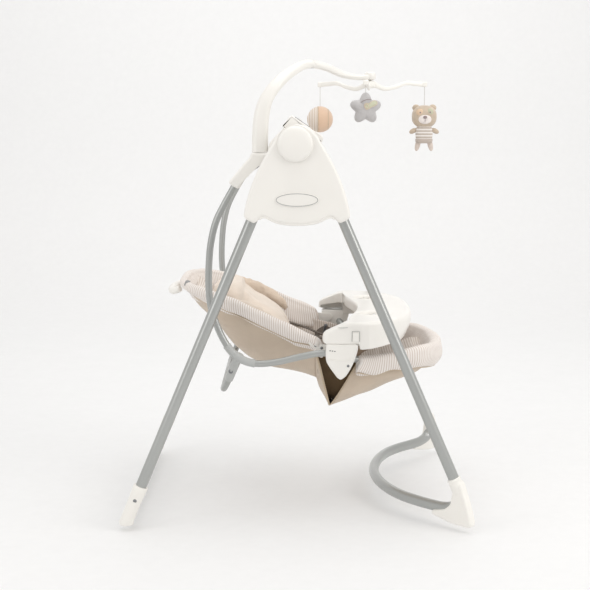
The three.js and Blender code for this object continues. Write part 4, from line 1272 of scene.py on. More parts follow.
def sling_grid(stations, rows, cols):
    grid = []
    for x_top, slant, top, low, wide, base in curve_through(np.array(stations, float), rows):
        half = [(-wide, top), (-(wide * 0.6 + base * 0.4) - 2.5, (top + low) / 2 + 4), (-base, low + 15),
                (-base + 22, low + 1.8), (-base * 0.45, low - 0.8), (0, low - 1.5)]
        whole = np.array(half + [(-y, z) for y, z in half[:-1]][::-1])
        section = curve_through(whole, cols)
        x = x_top + slant * (top - section[:, 1])
        grid.append(np.stack([x, section[:, 0], section[:, 1]], 1) * MM)
    grid = np.array(grid)
    leads_back = grid[-1, :, 0].mean() < grid[0, :, 0].mean()
    return grid if leads_back else grid[:, ::-1]


def crumpled(grid, amount, size, seed, stretch=(1.0, 1.0, 1.0), keep_rows=0.06):
    """Shallow folds over a grid that fade out at its first and last rows and at its side edges."""
    rows, cols, _ = grid.shape
    t = np.linspace(0, 1, rows)[:, None]
    s = np.linspace(0, 1, cols)[None, :]
    fade = np.clip(np.minimum(t, 1 - t) / keep_rows, 0, 1) * np.clip(np.minimum(s, 1 - s) / 0.03, 0, 1)
    waves = ripple(grid.reshape(-1, 3) * stretch, size, seed).reshape(rows, cols)
    return grid + grid_normals(grid) * (waves * fade * amount)[..., None]


def edge_binding(name, line, radius, material, body, slot):
    """A folded tape sewn round an edge."""
    piece = tube(name, line, radius, material, 12, 0.75)
    return settle(piece, body, slot)


def add_slings():
    back = sling_grid(BACK_STATIONS, 90, 120)
    back = crumpled(back, 2.4 * MM, 0.13, 3, (0.5, 1.0, 1.5))
    back = crumpled(back, 0.9 * MM, 0.05, 4, (0.3, 1.0, 1.2))
    piece = shell("back_sling", back, 3.2 * MM, TAN, STRIPE_WING)
    settle(piece, "backrest", "tan_fabric", "back_cover")
    declare_sheet(back)
    pocket = sling_grid(POCKET_STATIONS, 34, 120)
    pocket = crumpled(pocket, 1.6 * MM, 0.07, 5, (1.0, 0.6, 1.0), 0.2)
    # The pocket's inner faces take the near-black brown of painted shade.
    piece = shell("pocket_sling", pocket, 2.6 * MM, TAN, PAINTED_SHADE_BROWN)
    declare_sheet(pocket)
    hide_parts("fabric_pocket")
    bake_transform(piece)
    lining = sling_grid(LINING_STATIONS, 40, 120)
    lining = crumpled(lining, 4.0 * MM, 0.10, 6, (1.0, 0.5, 0.8), 0.2)
    # The lining sheet's outer faces take the near-black brown of painted shade.
    piece = shell("pocket_lining", lining, 2.0 * MM, PAINTED_SHADE_BROWN, STRIPE_WING)
    declare_sheet(lining)
    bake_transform(piece)
    seat = sling_grid(SEAT_STATIONS, 90, 120)
    seat = crumpled(seat, 2.4 * MM, 0.11, 8, (0.6, 1.0, 1.2), 0.05)
    seat = crumpled(seat, 0.8 * MM, 0.04, 9, (0.5, 1.0, 1.2), 0.05)
    # The seat sling's inner faces take the darker tan of painted shade.
    piece = shell("seat_sling", seat, 3.0 * MM, TAN, TAN_SHADE)
    settle(piece, "swing", "tan_fabric", "seat_cover")
    declare_sheet(seat)
    inset = grid_normals(seat)[0] * 1.4 * MM
    edge_binding("seat_sling_binding", seat[0] - inset, 2.3 * MM, BINDING, "swing", "tan_fabric")
    pocket_edge = pocket[-1] - grid_normals(pocket)[-1] * 1.2 * MM
    tape = tube("pocket_binding", pocket_edge, 2.3 * MM, BINDING, 12, 0.75)
    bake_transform(tape)


def declare_sheet(grid):
    """Works out the flat cut of a sling, its panel's own width, length and area, and keeps none of them."""
    width, length = grid_sizes(grid)
    area = grid_area(grid)
    width = max(width, area / length)


# ---- padded bands over the rims ----------------------------------------------------------------
BAND_SIDES = 56
# Each ring of a band's rounded end: its size as a share of the cut end, and how far out it stands in metres.
BAND_CAP = [(0.97, 0.0025), (0.88, 0.0055), (0.72, 0.0078), (0.45, 0.009), (0.15, 0.0094)]
BAND_END = 0.07  # the length at each end of a band over which its cut end leans, in metres


def band(name, rim, outer_drop, inner_drop, half_thick, material, outward, belly, slant, top=10.0, lean=0.3,
         inner_lean=0.42, seed=1):
    """A padded roll sewn over a rim tube; the drops are how far its two skirts hang, in millimetres.

    Belly is how far its outer side bulges, and slant is how far its cut ends lean for each millimetre down.
    """
    count = len(rim)
    tangents = np.gradient(rim, axis=0)
    lengths = distances_along(rim)
    puff = 1 + 0.06 * np.sin(lengths / 0.043) + 0.05 * np.sin(lengths / 0.019 + 1.3)
    rings = []
    for k in range(count):
        normal = unit(outward * np.cross(unit(tangents[k]), (0, 0, 1)))
        drop_o, drop_i, t = outer_drop[k], inner_drop[k], half_thick[k] * puff[k]
        half = [
            (t * 0.5, -drop_o), (t * 0.95, -drop_o + 5), (t * belly[k], -drop_o * 0.5), (t, 0),
            (t * 0.74, top - 3.6), (0, top), (-t * 0.74, top - 3.6), (-t, 0), (-t * 1.08, -drop_i * 0.45),
            (-t * 0.85, -drop_i + 7), (-t * 0.4, -drop_i), (0, -(drop_i + drop_o) / 2 + 4),
        ]
        section = curve_through(np.array(half), BAND_SIDES, closed=True)
        outside = np.clip(section[:, :1] / t, -1, 1)
        section[:, 0] += np.where(outside[:, 0] > 0, lean, inner_lean) * np.minimum(section[:, 1], 0)
        from_end = lengths[k] - lengths[-1] / 2
        near_end = np.clip(1 - (lengths[-1] / 2 - abs(from_end)) / BAND_END, 0, 1)
        pull = np.where(outside > 0, outside, 0.3 * outside)
        shift = np.sign(from_end) * slant * pull * near_end * -np.minimum(section[:, 1:], 0)
        ring = section[:, :1] * normal + section[:, 1:] * np.array((0, 0, 1)) + shift * unit(tangents[k])
        rings.append(rim[k] + MM * ring)
    for index, way in ((0, -1), (-1, 1)):
        ring, tangent = rings[index], unit(tangents[index])
        middle = ring.mean(axis=0)
        caps = [middle + (ring - middle) * s + tangent * way * reach for s, reach in BAND_CAP]
        rings = caps[::-1] + rings if index == 0 else rings + caps
    spare = len(BAND_CAP)
    lengths = np.concatenate([np.full(spare, lengths[0]), lengths, np.full(spare, lengths[-1])])
    piece = loft(name, rings, material)
    store_along(piece, np.repeat(lengths, BAND_SIDES))
    displace(piece, lambda p: ripple(p, 0.05, seed) * 0.9 * MM)
    return piece


def band_edge(rim, drop, out, outward, lean=0.3):
    """The line along a band's outer lower edge."""
    tangents = np.gradient(rim, axis=0)
    rows = []
    for point, tangent, depth, reach in zip(rim, tangents, drop, out):
        normal = unit(outward * np.cross(unit(tangent), (0, 0, 1)))
        rows.append(point + MM * ((reach - lean * depth) * normal - depth * np.array((0, 0, 1))))
    return np.array(rows)


def end_shift(line, rim, drop, slant):
    """Moves an edge line's ends in the way that the band's slanted ends move."""
    lengths = distances_along(rim)
    from_end = lengths - lengths[-1] / 2
    near_end = np.clip(1 - (lengths[-1] / 2 - np.abs(from_end)) / BAND_END, 0, 1)
    return line + (np.sign(from_end) * slant * near_end * drop * MM)[:, None] * unit_tangents(rim)


def add_bands():
    near = [(47, -243.5, 411.5), (36, -240, 417), *BACK_RIM_NEAR[1:]]
    rim = curve_through(mm_points(round_trip(near, (-281, 0, 532))), 220)
    x = rim[:, 0] / MM
    head = np.clip((-x - 170) / 80, 0, 1)
    front = np.clip((x + 5) / 55, 0, 1)
    outer = 27 - 15 * head - 14 * front
    inner = 56 - 20 * head - 16 * front
    thick = 11.5 + 1.5 * front - 0.8 * head
    piece = band("back_band", rim, outer, inner, thick, STRIPE, -1, 1.1 + 0 * x, -0.5, 11.2, seed=11)
    settle(piece, "backrest", "striped_fabric")
    piping = end_shift(band_edge(rim, outer - 0.5, thick * (0.62 - 0.3 * head), -1), rim, outer, -0.5)
    edge_binding("back_band_piping", piping, 1.7 * MM, BINDING, "backrest", "tan_fabric")
    near = [(152, -230, 366), (180, -215, 365), *SEAT_RIM_NEAR[4:]]
    rim = curve_through(mm_points(round_trip(near, (347, 0, 378))), 200)
    x = rim[:, 0] / MM
    foot = np.clip((x - 240) / 100, 0, 1)
    start = 1 - np.clip((x - 150) / 18, 0, 1)
    outer = 37 + 13 * foot - 6 * start + 2.6 * np.sin(x / 9.5) * (1 - foot)
    inner = np.full(len(rim), 42.0)
    thick = 12.0 + 3.5 * foot
    piece = band("seat_band", rim, outer, inner, thick, STRIPE, 1, 1.12 + 0.32 * foot, 0.45, 10.4, 0.18,
                 0.3, seed=17)
    settle(piece, "swing", "striped_fabric")
    piping = end_shift(band_edge(rim, outer - 0.5, thick * 0.62, 1, 0.18), rim, outer, 0.45)
    edge_binding("seat_band_piping", piping, 1.6 * MM, BINDING, "swing", "tan_fabric")


# ---- pads and pillow ---------------------------------------------------------------------------
def floor_grid(stations, rows, cols, share, lift):
    """The inner floor of a sling, lifted off it; share is how much of the half base it covers."""
    grid = []
    for x_top, slant, top, low, _, base in curve_through(np.array(stations, float), rows):
        y = np.linspace(-base * share, base * share, cols)
        rise = 26 * (np.abs(y) / (base * share)) ** 4
        z = low + lift + rise
        grid.append(np.stack([x_top + slant * (top - z), y, z], 1) * MM)
    return np.array(grid)


def pad(name, stations, share, thick, material, body, slot, seed):
    """A quilted floor pad that follows the sling: swelled by simulation, then pressed along its channels."""
    low = floor_grid(stations, 44, 40, share, 6)
    rows, cols, _ = low.shape
    t = np.linspace(-1, 1, rows)[:, None]
    s = np.linspace(-1, 1, cols)[None, :]
    crown = (1 - np.abs(t) ** 5) * (1 - np.abs(s) ** 5)
    upper = low + np.array((0, 0, 1.0)) * (8 * MM + crown * thick)[..., None]
    piece = shell(name, upper, 0.0, material, material)
    points = points_of(piece)
    points[rows * cols:] = low.reshape(-1, 3)
    set_points(piece, points)
    piece.data.materials.pop(index=1)
    inflate(piece, 5 * MM, 7 * MM)
    channel_at = [low[int(rows * share_at), cols // 2, 0] for share_at in (0.25, 0.5, 0.75)]

    def press(p):
        dents = sum(np.exp(-((p[:, 0] - x) / 0.0045) ** 2) for x in channel_at)
        return -3.0 * MM * dents + ripple(p, 0.045, seed) * 0.8 * MM

    displace(piece, press)
    settle(piece, body, slot)
    return piece


PILLOW_STATIONS = [
    (-10, 372, 6, 76), (-28, 362, 62, 112), (-55, 366, 92, 126), (-88, 375, 104, 136),
    (-120, 395, 104, 142), (-150, 418, 118, 142), (-175, 446, 98, 128), (-200, 474, 62, 104),
    (-214, 492, 26, 66),
]


def add_pillow():
    """The body support: a crowned centre that rises under the head."""
    rings = []
    for x, low, thick, half in curve_through(np.array(PILLOW_STATIONS, float), 46):
        thick = max(thick - 8, 3)
        section = [(-half, thick * 0.42), (-half * 0.93, thick * 0.12), (-half * 0.6, 0), (0, 0),
                   (half * 0.6, 0), (half * 0.93, thick * 0.12), (half, thick * 0.42),
                   (half * 0.88, thick * 0.86), (half * 0.5, thick), (0, thick * 0.96),
                   (-half * 0.5, thick), (-half * 0.88, thick * 0.86)]
        outline = curve_through(np.array(section), 64, closed=True)
        rings.append(np.stack([np.full(64, x), outline[:, 0], low + outline[:, 1]], 1) * MM)
    # The pillow takes the painted lit copy of the tan cloth.
    piece = loft("support_pillow_cushion", rings, TAN_LIT)
    inflate(piece, 6 * MM, 9 * MM)

    def gather(p):
        seam = np.exp(-((p[:, 0] + 0.128) / 0.006) ** 2)
        seam += 0.6 * np.exp(-((np.abs(p[:, 1]) - 0.047) / 0.006) ** 2) * (p[:, 0] > -0.128)
        edge = np.clip(np.abs(p[:, 1]) / 0.117, 0, 1) ** 6
        pucker = np.sin(p[:, 0] / 0.0048) * edge
        return -5.0 * MM * seam + 0.9 * MM * pucker + ripple(p, 0.06, 23) * 1.2 * MM

    displace(piece, gather)
    settle(piece, "backrest", "pillow_fabric", "support_pillow")


WING_LINE = [
    (-176, -176, 500), (-150, -186, 496), (-122, -190, 485), (-92, -194, 471), (-64, -195, 456),
    (-42, -190, 441), (-28, -182, 428),
]


def add_pillow_wings():
    """The gathered side wings of the support, lying against the inside of each rim."""
    for side_name, side in SIDES.items():
        lower = 4 * MM if side < 0 else 0
        line = curve_through(mirrored(mm_points(WING_LINE), side), 90) - np.array((0, 0, lower))
        t = np.linspace(0, 1, 90)
        radii = (7 + 9.5 * np.sin(np.clip(t * 1.04, 0, 1) * math.pi) ** 0.6) * MM
        tangents = np.gradient(line, axis=0)
        angles = circle(48)
        rings = []
        for point, tangent, r in zip(line, tangents, radii):
            inward = unit(np.cross(unit(tangent), (0, 0, 1)))
            up = np.cross(inward, unit(tangent))
            up = up if up[2] > 0 else -up
            ring = 0.72 * np.cos(angles)[:, None] * inward + 1.35 * np.sin(angles)[:, None] * up
            rings.append(point + r * ring)
        # The two wings are one cloth: the near wing takes the painted lit copy and the far wing the painted
        # shaded copy.
        piece = loft(f"{side_name}_support_wing", rings, TAN_SHADED_AND_STITCH if side > 0 else TAN_LIT)
        inflate(piece, 4 * MM, 6 * MM)

        def gather(p):
            folds = np.sin(p[:, 0] / 0.0052 + ripple(p, 0.05, 31) * 1.6)
            height = np.clip((p[:, 2] - (0.44 - 0.35 * p[:, 0])) / 0.05, -1, 1)
            return folds * 1.9 * MM * (0.6 - 0.4 * height) + ripple(p, 0.03, 37) * 1.1 * MM

        displace(piece, gather)
        settle(piece, "backrest", "pillow_fabric")


# ---- harness -----------------------------------------------------------------------------------
def strap(name, points, width, material, count=60, across=(0, 1, 0), thick=1.9):
    """Flat webbing along a smooth line, with selvedges."""
    line = curve_through(mm_points(points), count)
    tangents = np.gradient(line, axis=0)
    section = np.array([(-1, -0.35), (-0.96, -0.5), (-0.8, -0.38), (0, -0.36), (0.8, -0.38), (0.96, -0.5),
                        (1, -0.35), (1, 0.35), (0.96, 0.5), (0.8, 0.38), (0, 0.36), (-0.8, 0.38),
                        (-0.96, 0.5), (-1, 0.35)])
    rings = []
    for point, tangent in zip(line, tangents):
        tangent = unit(tangent)
        side = unit(np.array(across) - tangent * np.dot(across, tangent))
        normal = np.cross(tangent, side)
        rings.append(point + MM * (section[:, :1] * width / 2 * side + section[:, 1:] * thick * normal))
    return sharp_shade(loft(name, rings, material), 60)


def add_harness():
    crotch_line = [(134, 0, 303), (130.5, 0, 322), (122, 0, 338), (112.5, 0, 350.5)]
    settle(strap("crotch_webbing", crotch_line, 24, WEBBING), "swing", "webbing", "crotch_strap")
    slanted = (0.5, 0.85, 0)
    pale_line = [(86, -150, 251), (89, -150, 285), (93, -150, 322), (97, -152, 350)]
    settle(strap("pocket_stay_strap", pale_line, 9, WEBBING_PALE, 30, slanted), "swing", "webbing")
    dark_line = [(90, -120, 252), (98, -118, 280), (110, -112, 312), (122, -100, 335)]
    settle(strap("pocket_dark_strap", dark_line, 17, WEBBING, 30, slanted), "swing", "webbing")
    for side_name, side in SIDES.items():
        shoulder = [(-44, 60, 414), (-20, 62, 410), (10, 56, 402), (40, 42, 392), (70, 27, 382),
                    (98, 17, 371)]
        piece = strap(f"{side_name}_shoulder_strap", mirrored_list(shoulder, side), 22, WEBBING, 70)
        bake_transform(piece)
        waist = [(48, 196, 352), (58, 165, 366), (70, 120, 380), (82, 75, 384), (94, 40, 378), (103, 23, 370)]
        piece = strap(f"{side_name}_waist_strap", mirrored_list(waist, side), 22, WEBBING, 60, (0.25, 0, 1))
        settle(piece, "swing", "webbing")
        slider = rounded_box(f"{side_name}_strap_slider", mm(74, side * 110, 382.5), mm(9, 24, 27), 2 * MM,
                             DARK, 0.2)
        settle(slider, "swing", "dark_plastic")
    body = rounded_box("harness_buckle_shell", mm(108, 0, 366), mm(13.6, 45.6, 29.6), 4.2 * MM, WHITE_SOFT)
    settle(body, "swing", "white_plastic", "harness_buckle")
    key = rounded_box("buckle_release_key", mm(100.6, 0, 372), mm(3.4, 17.4, 11.6), 1.2 * MM, DARK)
    settle(key, "buckle_release", "dark_plastic", "buckle_release")
    tab_line = [(-262, -134, 543), (-266, -140, 541), (-269, -146, 532)]
    settle(strap("head_grey_tab", tab_line, 9, SHADE_CLOTH, 16, (1, 0.3, 0)), "backrest", "tan_fabric")


add_slings()
add_bands()
pad("back_pad", BACK_STATIONS[:8], 1.0, 14 * MM, STRIPE_WING, "backrest", "striped_fabric", 41)
pad("seat_pad", SEAT_STATIONS[2:8], 1.0, 15 * MM, STRIPE_WING, "swing", "striped_fabric", 43)
add_pillow()
add_pillow_wings()
add_harness()


# ---- mobile ------------------------------------------------------------------------------------
ARM_STATIONS = [
    ((-85, -269, 857.3), 18.4, 11), ((-84.6, -268.5, 878), 18.4, 11), ((-84, -268, 900), 17.6, 11),
    ((-81, -266, 940), 15.2, 11), ((-70, -262, 978), 13.6, 11), ((-46, -248, 1012), 11.8, 10.5),
    ((-12, -212, 1042), 10, 10), ((25, -160, 1060), 8.2, 9.6), ((66, -108, 1056), 7.2, 9.4),
    ((112, -58, 1039), 6.9, 9.6), ((150, -24, 1033), 6.8, 9.6), ((178, -2, 1033.5), 6.8, 9.4),
]
MOBILE_HUB = (181, 0)
MOBILE_REACH = 153
MOBILE_TURN = 23


def mobile_frames(line):
    """Cross directions of the arm: flat across the swing at its foot, then square to its heading."""
    tangents = np.gradient(line, axis=0)
    rows = []
    for index, tangent in enumerate(tangents):
        share = min(1.0, index / len(line) * 3.2)
        along = unit(unit(tangent) * share + np.array((0, 0, 1)) * (1 - share))
        want = unit(np.array((0.55, 0.83, 0)) * share + np.array((0, 1, 0)) * (1 - share))
        normal = unit(want - along * np.dot(want, along))
        rows.append((normal, np.cross(normal, along)))
    return rows


def add_mobile_arm():
    count = 110
    line = curve_through(mm_points([at for at, _, _ in ARM_STATIONS]), count)
    marks = np.linspace(0, count - 1, len(ARM_STATIONS))
    wide = np.interp(range(count), marks, [w for _, w, _ in ARM_STATIONS]) * MM
    deep = np.interp(range(count), marks, [d for _, _, d in ARM_STATIONS]) * MM
    angles = circle(48)
    u, v = squarish(angles, 2 / 2.6)
    ridge = 1 + 0.10 * np.exp(-((angles - math.radians(250)) / 0.35) ** 2)
    rings = []
    for point, (normal, plane), w, d in zip(line, mobile_frames(line), wide, deep):
        rings.append(point + np.outer(u * w, plane) + np.outer(v * ridge * d, normal))
    last, first = rings[-1], rings[0]
    rings = [first.mean(0) + (first - first.mean(0)) * 0.93] + rings
    rings += [last.mean(0) + (last - last.mean(0)) * s + np.array((0.004, 0.003, 0)) * (1 - s)
              for s in (0.9, 0.7, 0.4)]
    arm = sharp_shade(loft("mobile_arm_shell", rings, WHITE), 60)
    settle(arm, "swing", "white_plastic", "mobile_arm")
    under = [p - np.array((0, 0, 1)) * w * 1.0 for p, w in zip(line[62:96], wide[62:96])]
    seam = tube("mobile_arm_seam", np.array(under), 0.9 * MM, BADGE_GREY, 8)
    settle(seam, "swing", "grey_plastic")
    boss = [(0, 14), (6, 13.8), (11, 12.4), (13.4, 9.5), (14, 5), (14, -2), (13.2, -4.5), (9, -6.4),
            (0, -6.5)]
    knob = turned("mobile_hub_knob", np.array(boss) * MM, mm(*MOBILE_HUB, 1033.3), (0, 0, 1), WHITE, 48)
    settle(knob, "swing", "white_plastic")


ARM_PROFILE = [(0, 1018), (14, 1015), (40, 1006), (72, 1011), (100, 1020), (126, 1019),
               (MOBILE_REACH - 4, 1017.5)]


def arm_tip(step):
    angle = math.radians(MOBILE_TURN + step)
    return (MOBILE_HUB[0] + MOBILE_REACH * math.cos(angle), MOBILE_HUB[1] + MOBILE_REACH * math.sin(angle))


def add_spider():
    parts = []
    for step in (0, 120, 240):
        angle = math.radians(MOBILE_TURN + step)
        points = [(MOBILE_HUB[0] + r * math.cos(angle), MOBILE_HUB[1] + r * math.sin(angle), z)
                  for r, z in ARM_PROFILE]
        line = curve_through(mm_points(points), 70)
        t = np.linspace(0, 1, 70)
        across = np.array((-math.sin(angle), math.cos(angle), 0))
        tall = 6.2 + 3.0 * np.exp(-(t / 0.14) ** 2) - 0.8 * np.sin(t * math.pi)
        loop = circle(28)
        side, rise = squarish(loop, 0.75)
        rings = [point + MM * (np.outer(side * 3.4, across) + np.outer(rise * h, (0, 0, 1)))
                 for point, h in zip(line, tall)]
        parts.append(loft(f"arm_{step}", rings, WHITE_SOFT))
        x, y = arm_tip(step)
        parts.append(rounded_box(f"tip_{step}", mm(x, y, 1017.6), mm(13, 13, 12.5), 2.4 * MM, WHITE_SOFT))
    core = [(0, 1025.4), (8, 1025.2), (12.4, 1023.6), (13.8, 1020), (14, 1012), (12.6, 1008.4),
            (8, 1006.6), (0, 1006.2)]
    parts.append(turned("core", np.array(core) * MM, mm(*MOBILE_HUB, 0), (0, 0, 1), WHITE_SOFT, 40))
    body = fuse(join_pieces("mobile_spider_shell", parts, WHITE_SOFT), 1.1 * MM, 3)
    settle(body, "mobile", "white_plastic", "mobile_spider")


STRING_TOP = 1011.5


def toy_string(name, place, low, body, slot):
    x, y = place
    line = np.linspace(mm(x, y, STRING_TOP), mm(x, y, low), 10)
    settle(tube(name, line, 0.75 * MM, CORD, 10), body, slot)


def soft_ball(name, centre, size, material, squareness=2.0, turn=0.0, detail=28):
    """A stuffed form: a ball with the given half sizes; squareness above 2 fills its corners."""
    rings = []
    angles = circle(detail * 2)
    power = 2 / squareness
    for latitude in np.linspace(-math.pi / 2, math.pi / 2, detail + 1)[1:-1]:
        c, s = math.cos(latitude), math.sin(latitude)
        x, y = (f * c**power for f in squarish(angles, power))
        z = np.full_like(x, math.copysign(abs(s) ** power, s))
        points = np.stack([x * size[0], y * size[1], z * size[2]], 1)
        rings.append(rotated_about_y(points, turn) + np.array(centre))
    return loft(name, rings, material)


def add_ball():
    x, y = arm_tip(120)
    centre, radius = mm(x, y, 930), 33 * MM
    ball = soft_ball("toy_ball_body", centre, (radius, radius, radius), PEACH, 2.0, 0.0, 40)
    ball.data.materials.append(BALL_STRIPE)
    for polygon in ball.data.polygons:
        middle = (np.array(polygon.center) - centre) / radius
        if middle[0] < -0.16:
            polygon.material_index = 1
    settle(ball, "toy_ball", "peach_plush", "toy_ball")
    angles = circle(72)
    for name, offset in (("front", -0.16), ("rear", 0.62)):
        ring = radius * math.sqrt(1 - offset**2) * 1.004
        x_at = np.full(72, centre[0] + offset * radius)
        loop = np.stack([x_at, centre[1] + ring * np.cos(angles), centre[2] + ring * np.sin(angles)], 1)
        seam = tube(f"toy_ball_seam_{name}", np.vstack([loop, loop[:2]]), 0.7 * MM, BINDING, 8)
        settle(seam, "toy_ball", "peach_plush")
    toy_string("toy_ball_string", (x, y), 960, "toy_ball", "webbing")


STAR_BULGE = 14.0


def star_reach(angle):
    """How far the star's outline is from its middle at an angle, in millimetres."""
    lobes = 0.5 + 0.5 * np.cos(5 * (angle - math.pi / 2))
    return 25.5 + 12.5 * lobes**0.8


def add_star():
    x, y = arm_tip(240)
    centre = mm(x, y, 957)
    angles = circle(160)
    reach = star_reach(angles) * MM
    outline = np.stack([reach * np.cos(angles), reach * np.sin(angles)], 1)
    rings = []
    for t in np.concatenate([np.linspace(0.04, 1, 16), np.linspace(1, 0.04, 16)[1:]]):
        rings.append(outline * t)
    half = len(rings) // 2
    solid = []
    for index, ring in enumerate(rings):
        t = np.linalg.norm(ring, axis=1) / np.linalg.norm(outline, axis=1)
        bulge = STAR_BULGE * np.sqrt(np.clip(1 - t**2.6, 0, 1)) * MM
        side = -1 if index <= half else 1
        solid.append(np.stack([centre[0] + ring[:, 0], centre[1] + side * bulge, centre[2] + ring[:, 1]], 1))
    star = loft("toy_star_body", solid, LILAC)
    settle(star, "toy_star", "lilac_plush", "toy_star")
    star_trim(centre)
    toy_string("toy_star_string", (x, y), 990, "toy_star", "webbing")


def star_front(centre, u, v, lift=0.5):
    """A point on the star's near face, at u, v millimetres from its middle."""
    angle = math.atan2(v, u)
    t = min(0.98, math.hypot(u, v) / float(star_reach(angle)))
    bulge = STAR_BULGE * math.sqrt(1 - t**2.6) + lift
    return centre + mm(u, -bulge, v)


def star_trim(centre):
    """A felt leaf with a stitched heart shape on the near face, and a seam across the top lobe."""
    leaf = [(1, -3), (-3, 2), (-4.5, 8), (0, 12.5), (7, 12), (12, 15), (19, 18.5), (26, 17), (27.5, 11),
            (21, 6), (13, 2.5), (6, -1.5)]
    outline = curve_through(np.array(leaf, float), 80, closed=True)
    middle = outline.mean(axis=0)
    rings = [[star_front(centre, *(middle + (p - middle) * s), lift) for p in outline]
             for s, lift in ((1.0, -0.6), (1.0, 0.5), (0.94, 0.9), (0.6, 1.1), (0.25, 1.2), (0.05, 1.2))]
    patch = loft("toy_star_leaf", [np.array(r) for r in rings], PALE_GREEN)
    settle(patch, "toy_star", "lilac_plush")
    edge = [star_front(centre, *(middle + (p - middle) * 0.97), 1.0) for p in outline]
    stitch = tube("toy_star_leaf_stitch", np.array([*edge, edge[0], edge[1]]), 0.65 * MM, TAN_SHADED_AND_STITCH, 8)
    settle(stitch, "toy_star", "lilac_plush")
    angles = np.linspace(0, 2 * math.pi, 40)
    loop = [star_front(centre, 1.8 + 4.6 * math.cos(a), 5 + 4.6 * math.sin(a), 1.4) for a in angles]
    settle(tube("toy_star_leaf_loop", np.array(loop), 0.7 * MM, TAN_SHADED_AND_STITCH, 8), "toy_star", "lilac_plush")
    top = [star_front(centre, u, 17.5 + 2.6 * math.sin((u + 12) / 25 * math.pi) + u * 0.28, 0.4)
           for u in np.linspace(-12, 13, 24)]
    settle(tube("toy_star_top_seam", np.array(top), 0.8 * MM, BEAR_DARK, 8), "toy_star", "lilac_plush")


def add_bear():
    """A small plain toy bear of no particular design, in a knitted shirt."""
    x, y = arm_tip(0)

    def at(dx, dy, z):
        return mm(x + dx, y + dy, z)

    trunk_z, trunk_squareness = 894, 2.9
    parts = [
        ("head", at(0, 0, 937), (31.5, 23, 28.5), BEAR, 2.35, 0),
        ("ear_left", at(-21, 1, 959), (9.6, 6.5, 8.6), BEAR, 2.0, 0),
        ("ear_right", at(21, 1, 959), (9.6, 6.5, 8.6), BEAR, 2.0, 0),
        ("arm_left", at(-28, -1, 901), (10.5, 6, 6.2), BEAR, 2.1, -0.5),
        ("arm_right", at(28, -1, 901), (10.5, 6, 6.2), BEAR, 2.1, 0.5),
        ("leg_left", at(-15.5, -1, 868), (6.6, 6.6, 18), BEAR_LEG, 2.3, 0.22),
        ("leg_right", at(15.5, -1, 868), (6.6, 6.6, 18), BEAR_LEG, 2.3, -0.22),
        ("trunk", at(0, 0, trunk_z), (21.5, 16, 23.5), SHIRT, trunk_squareness, 0),
        ("muzzle", at(0, -18, 931), (17, 8, 12.5), BEAR_PALE, 2.1, 0),
        ("nose", at(0, -26.0, 935.5), (5, 3, 3.8), BEAR_DARK, 2.2, 0),
        ("patch", at(-12, -17.6, 947), (10.5, 5, 9.5), BEAR_PATCH, 2.1, 0.3),
        ("eye_patch", at(13.5, -18.5, 949.5), (7.6, 4.2, 8.4), PALE_GREEN, 2.0, 0),
        ("eye_left", at(-12, -22.4, 947), (2.1, 1.2, 2.1), BEAR_DARK, 2.0, 0),
        ("eye_right", at(13, -22.6, 948), (2.1, 1.2, 2.1), BEAR_DARK, 2.0, 0),
    ]
    for name, centre, size, material, squareness, turn in parts:
        piece = soft_ball(f"toy_bear_{name}", centre, mm(*size), material, squareness, turn)
        replaced = ("toy_bear",) if name == "head" else ()
        settle(piece, "toy_bear", "bear_plush", *replaced)
    hem = np.array([(17.5, -24), (20, -22.5), (21.3, -18), (21.4, -13), (20.5, -12.5)]) * MM
    angles = circle(64)
    rings = []
    for radius, height in hem:
        u, v = squarish(angles, 2 / trunk_squareness)
        ring = np.stack([u * radius * 1.02, v * radius * 0.74, np.full(64, height)], 1)
        rings.append(at(0, 0, trunk_z) + ring)
    band = loft("toy_bear_hem", rings, SHIRT_HEM)
    settle(band, "toy_bear", "bear_plush")
    mouth = [at(0, -26.3, 932), at(0, -26.4, 927.5), at(-0.2, -25.6, 924.5)]
    stitch = tube("toy_bear_mouth_stitch", curve_through(mouth, 12), 0.55 * MM, BEAR_DARK, 8)
    settle(stitch, "toy_bear", "bear_plush")
    toy_string("toy_bear_string", (x, y), 962, "toy_bear", "webbing")


add_mobile_arm()
add_spider()
add_ball()
add_star()
add_bear()


# ---- inner machine parts: the CAD solids keep their shape and take detailed materials ------------
INNER_LOOKS = {
    "gear_motor": STEEL, "crank_wheel": WHITE_SOFT, "circuit_board": BOARD,
    "speaker": DARK, "battery_pack": CELLS, "power_inlet": DARK,
}
for inner_name, inner_material in INNER_LOOKS.items():
    nodes[inner_name].data.materials.clear()
    nodes[inner_name].data.materials.append(inner_material)


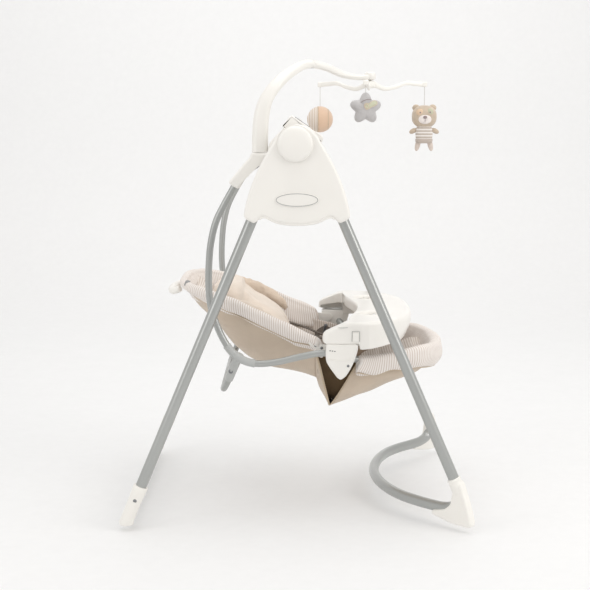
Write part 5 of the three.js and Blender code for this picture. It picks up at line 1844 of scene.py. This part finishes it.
# ---- stage and light ---------------------------------------------------------------------------
def add_stage():
    """A pale floor that curves up into the backdrop behind the swing."""
    profile = [(-3.0, 0), (2.2, 0), (2.7, 0.05), (3.1, 0.22), (3.35, 0.55), (3.45, 1.1), (3.45, 4.5)]
    line = curve_through(np.array(profile, float), 60)
    xs = np.linspace(-5, 5, 12)
    below_feet = 0.0004
    vertices = [(x, y, z - below_feet) for y, z in line for x in xs]
    faces = loft_faces(len(line), len(xs), closed_rings=False, caps=False)
    look = Look("paper_backdrop")
    fibre = look.noise(40.0, 4.0)
    tint = look.mix(look.ramp(fibre, 0.3, 0.7), (0.67, 0.67, 0.67), (0.685, 0.685, 0.685))
    gloss = look.ramp(look.noise(9.0), 0.3, 0.7, 0.6, 0.75)
    paper = look.finish(tint, gloss, look.bump(fibre, 0.03, 0.001),
                        Emission_Color=(1.0, 1.0, 1.0, 1.0), Emission_Strength=0.175)
    backdrop = make_mesh("paper_sweep", vertices, faces, paper)


def area_light(name, location, target, size, power, color=(1, 1, 1)):
    data = bpy.data.lights.new(name, "AREA")
    data.shape = "RECTANGLE"
    data.size, data.size_y = size
    data.energy = power
    data.color = color
    lamp = bpy.data.objects.new(name, data)
    lamp.location = location
    way = Vector(target) - Vector(location)
    lamp.rotation_mode = "QUATERNION"
    lamp.rotation_quaternion = way.to_track_quat("-Z", "Y")
    scene.collection.objects.link(lamp)


def add_lights():
    world = bpy.data.worlds.new("studio")
    world.use_nodes = True
    background = world.node_tree.nodes["Background"]
    background.inputs["Color"].default_value = (1.0, 0.985, 0.965, 1.0)
    background.inputs["Strength"].default_value = 0.74
    scene.world = world
    area_light("softbox_top", (0.2, -0.2, 3.0), (0, 0, 0.5), (3.0, 2.6), 26)
    area_light("softbox_right", (2.6, -1.6, 1.9), (0, 0, 0.6), (1.4, 2.0), 27, (1.0, 0.985, 0.96))
    area_light("softbox_left", (-2.6, -2.0, 1.7), (0, 0, 0.6), (1.2, 1.8), 17, (1.0, 0.99, 0.98))
    area_light("backdrop_wash", (0, 1.6, 2.9), (0, 3.2, 0.9), (3.0, 0.8), 16)
    scene.view_settings.view_transform = "Standard"
    scene.view_settings.look = "None"


add_stage()
add_lights()

bpy.context.view_layer.update()
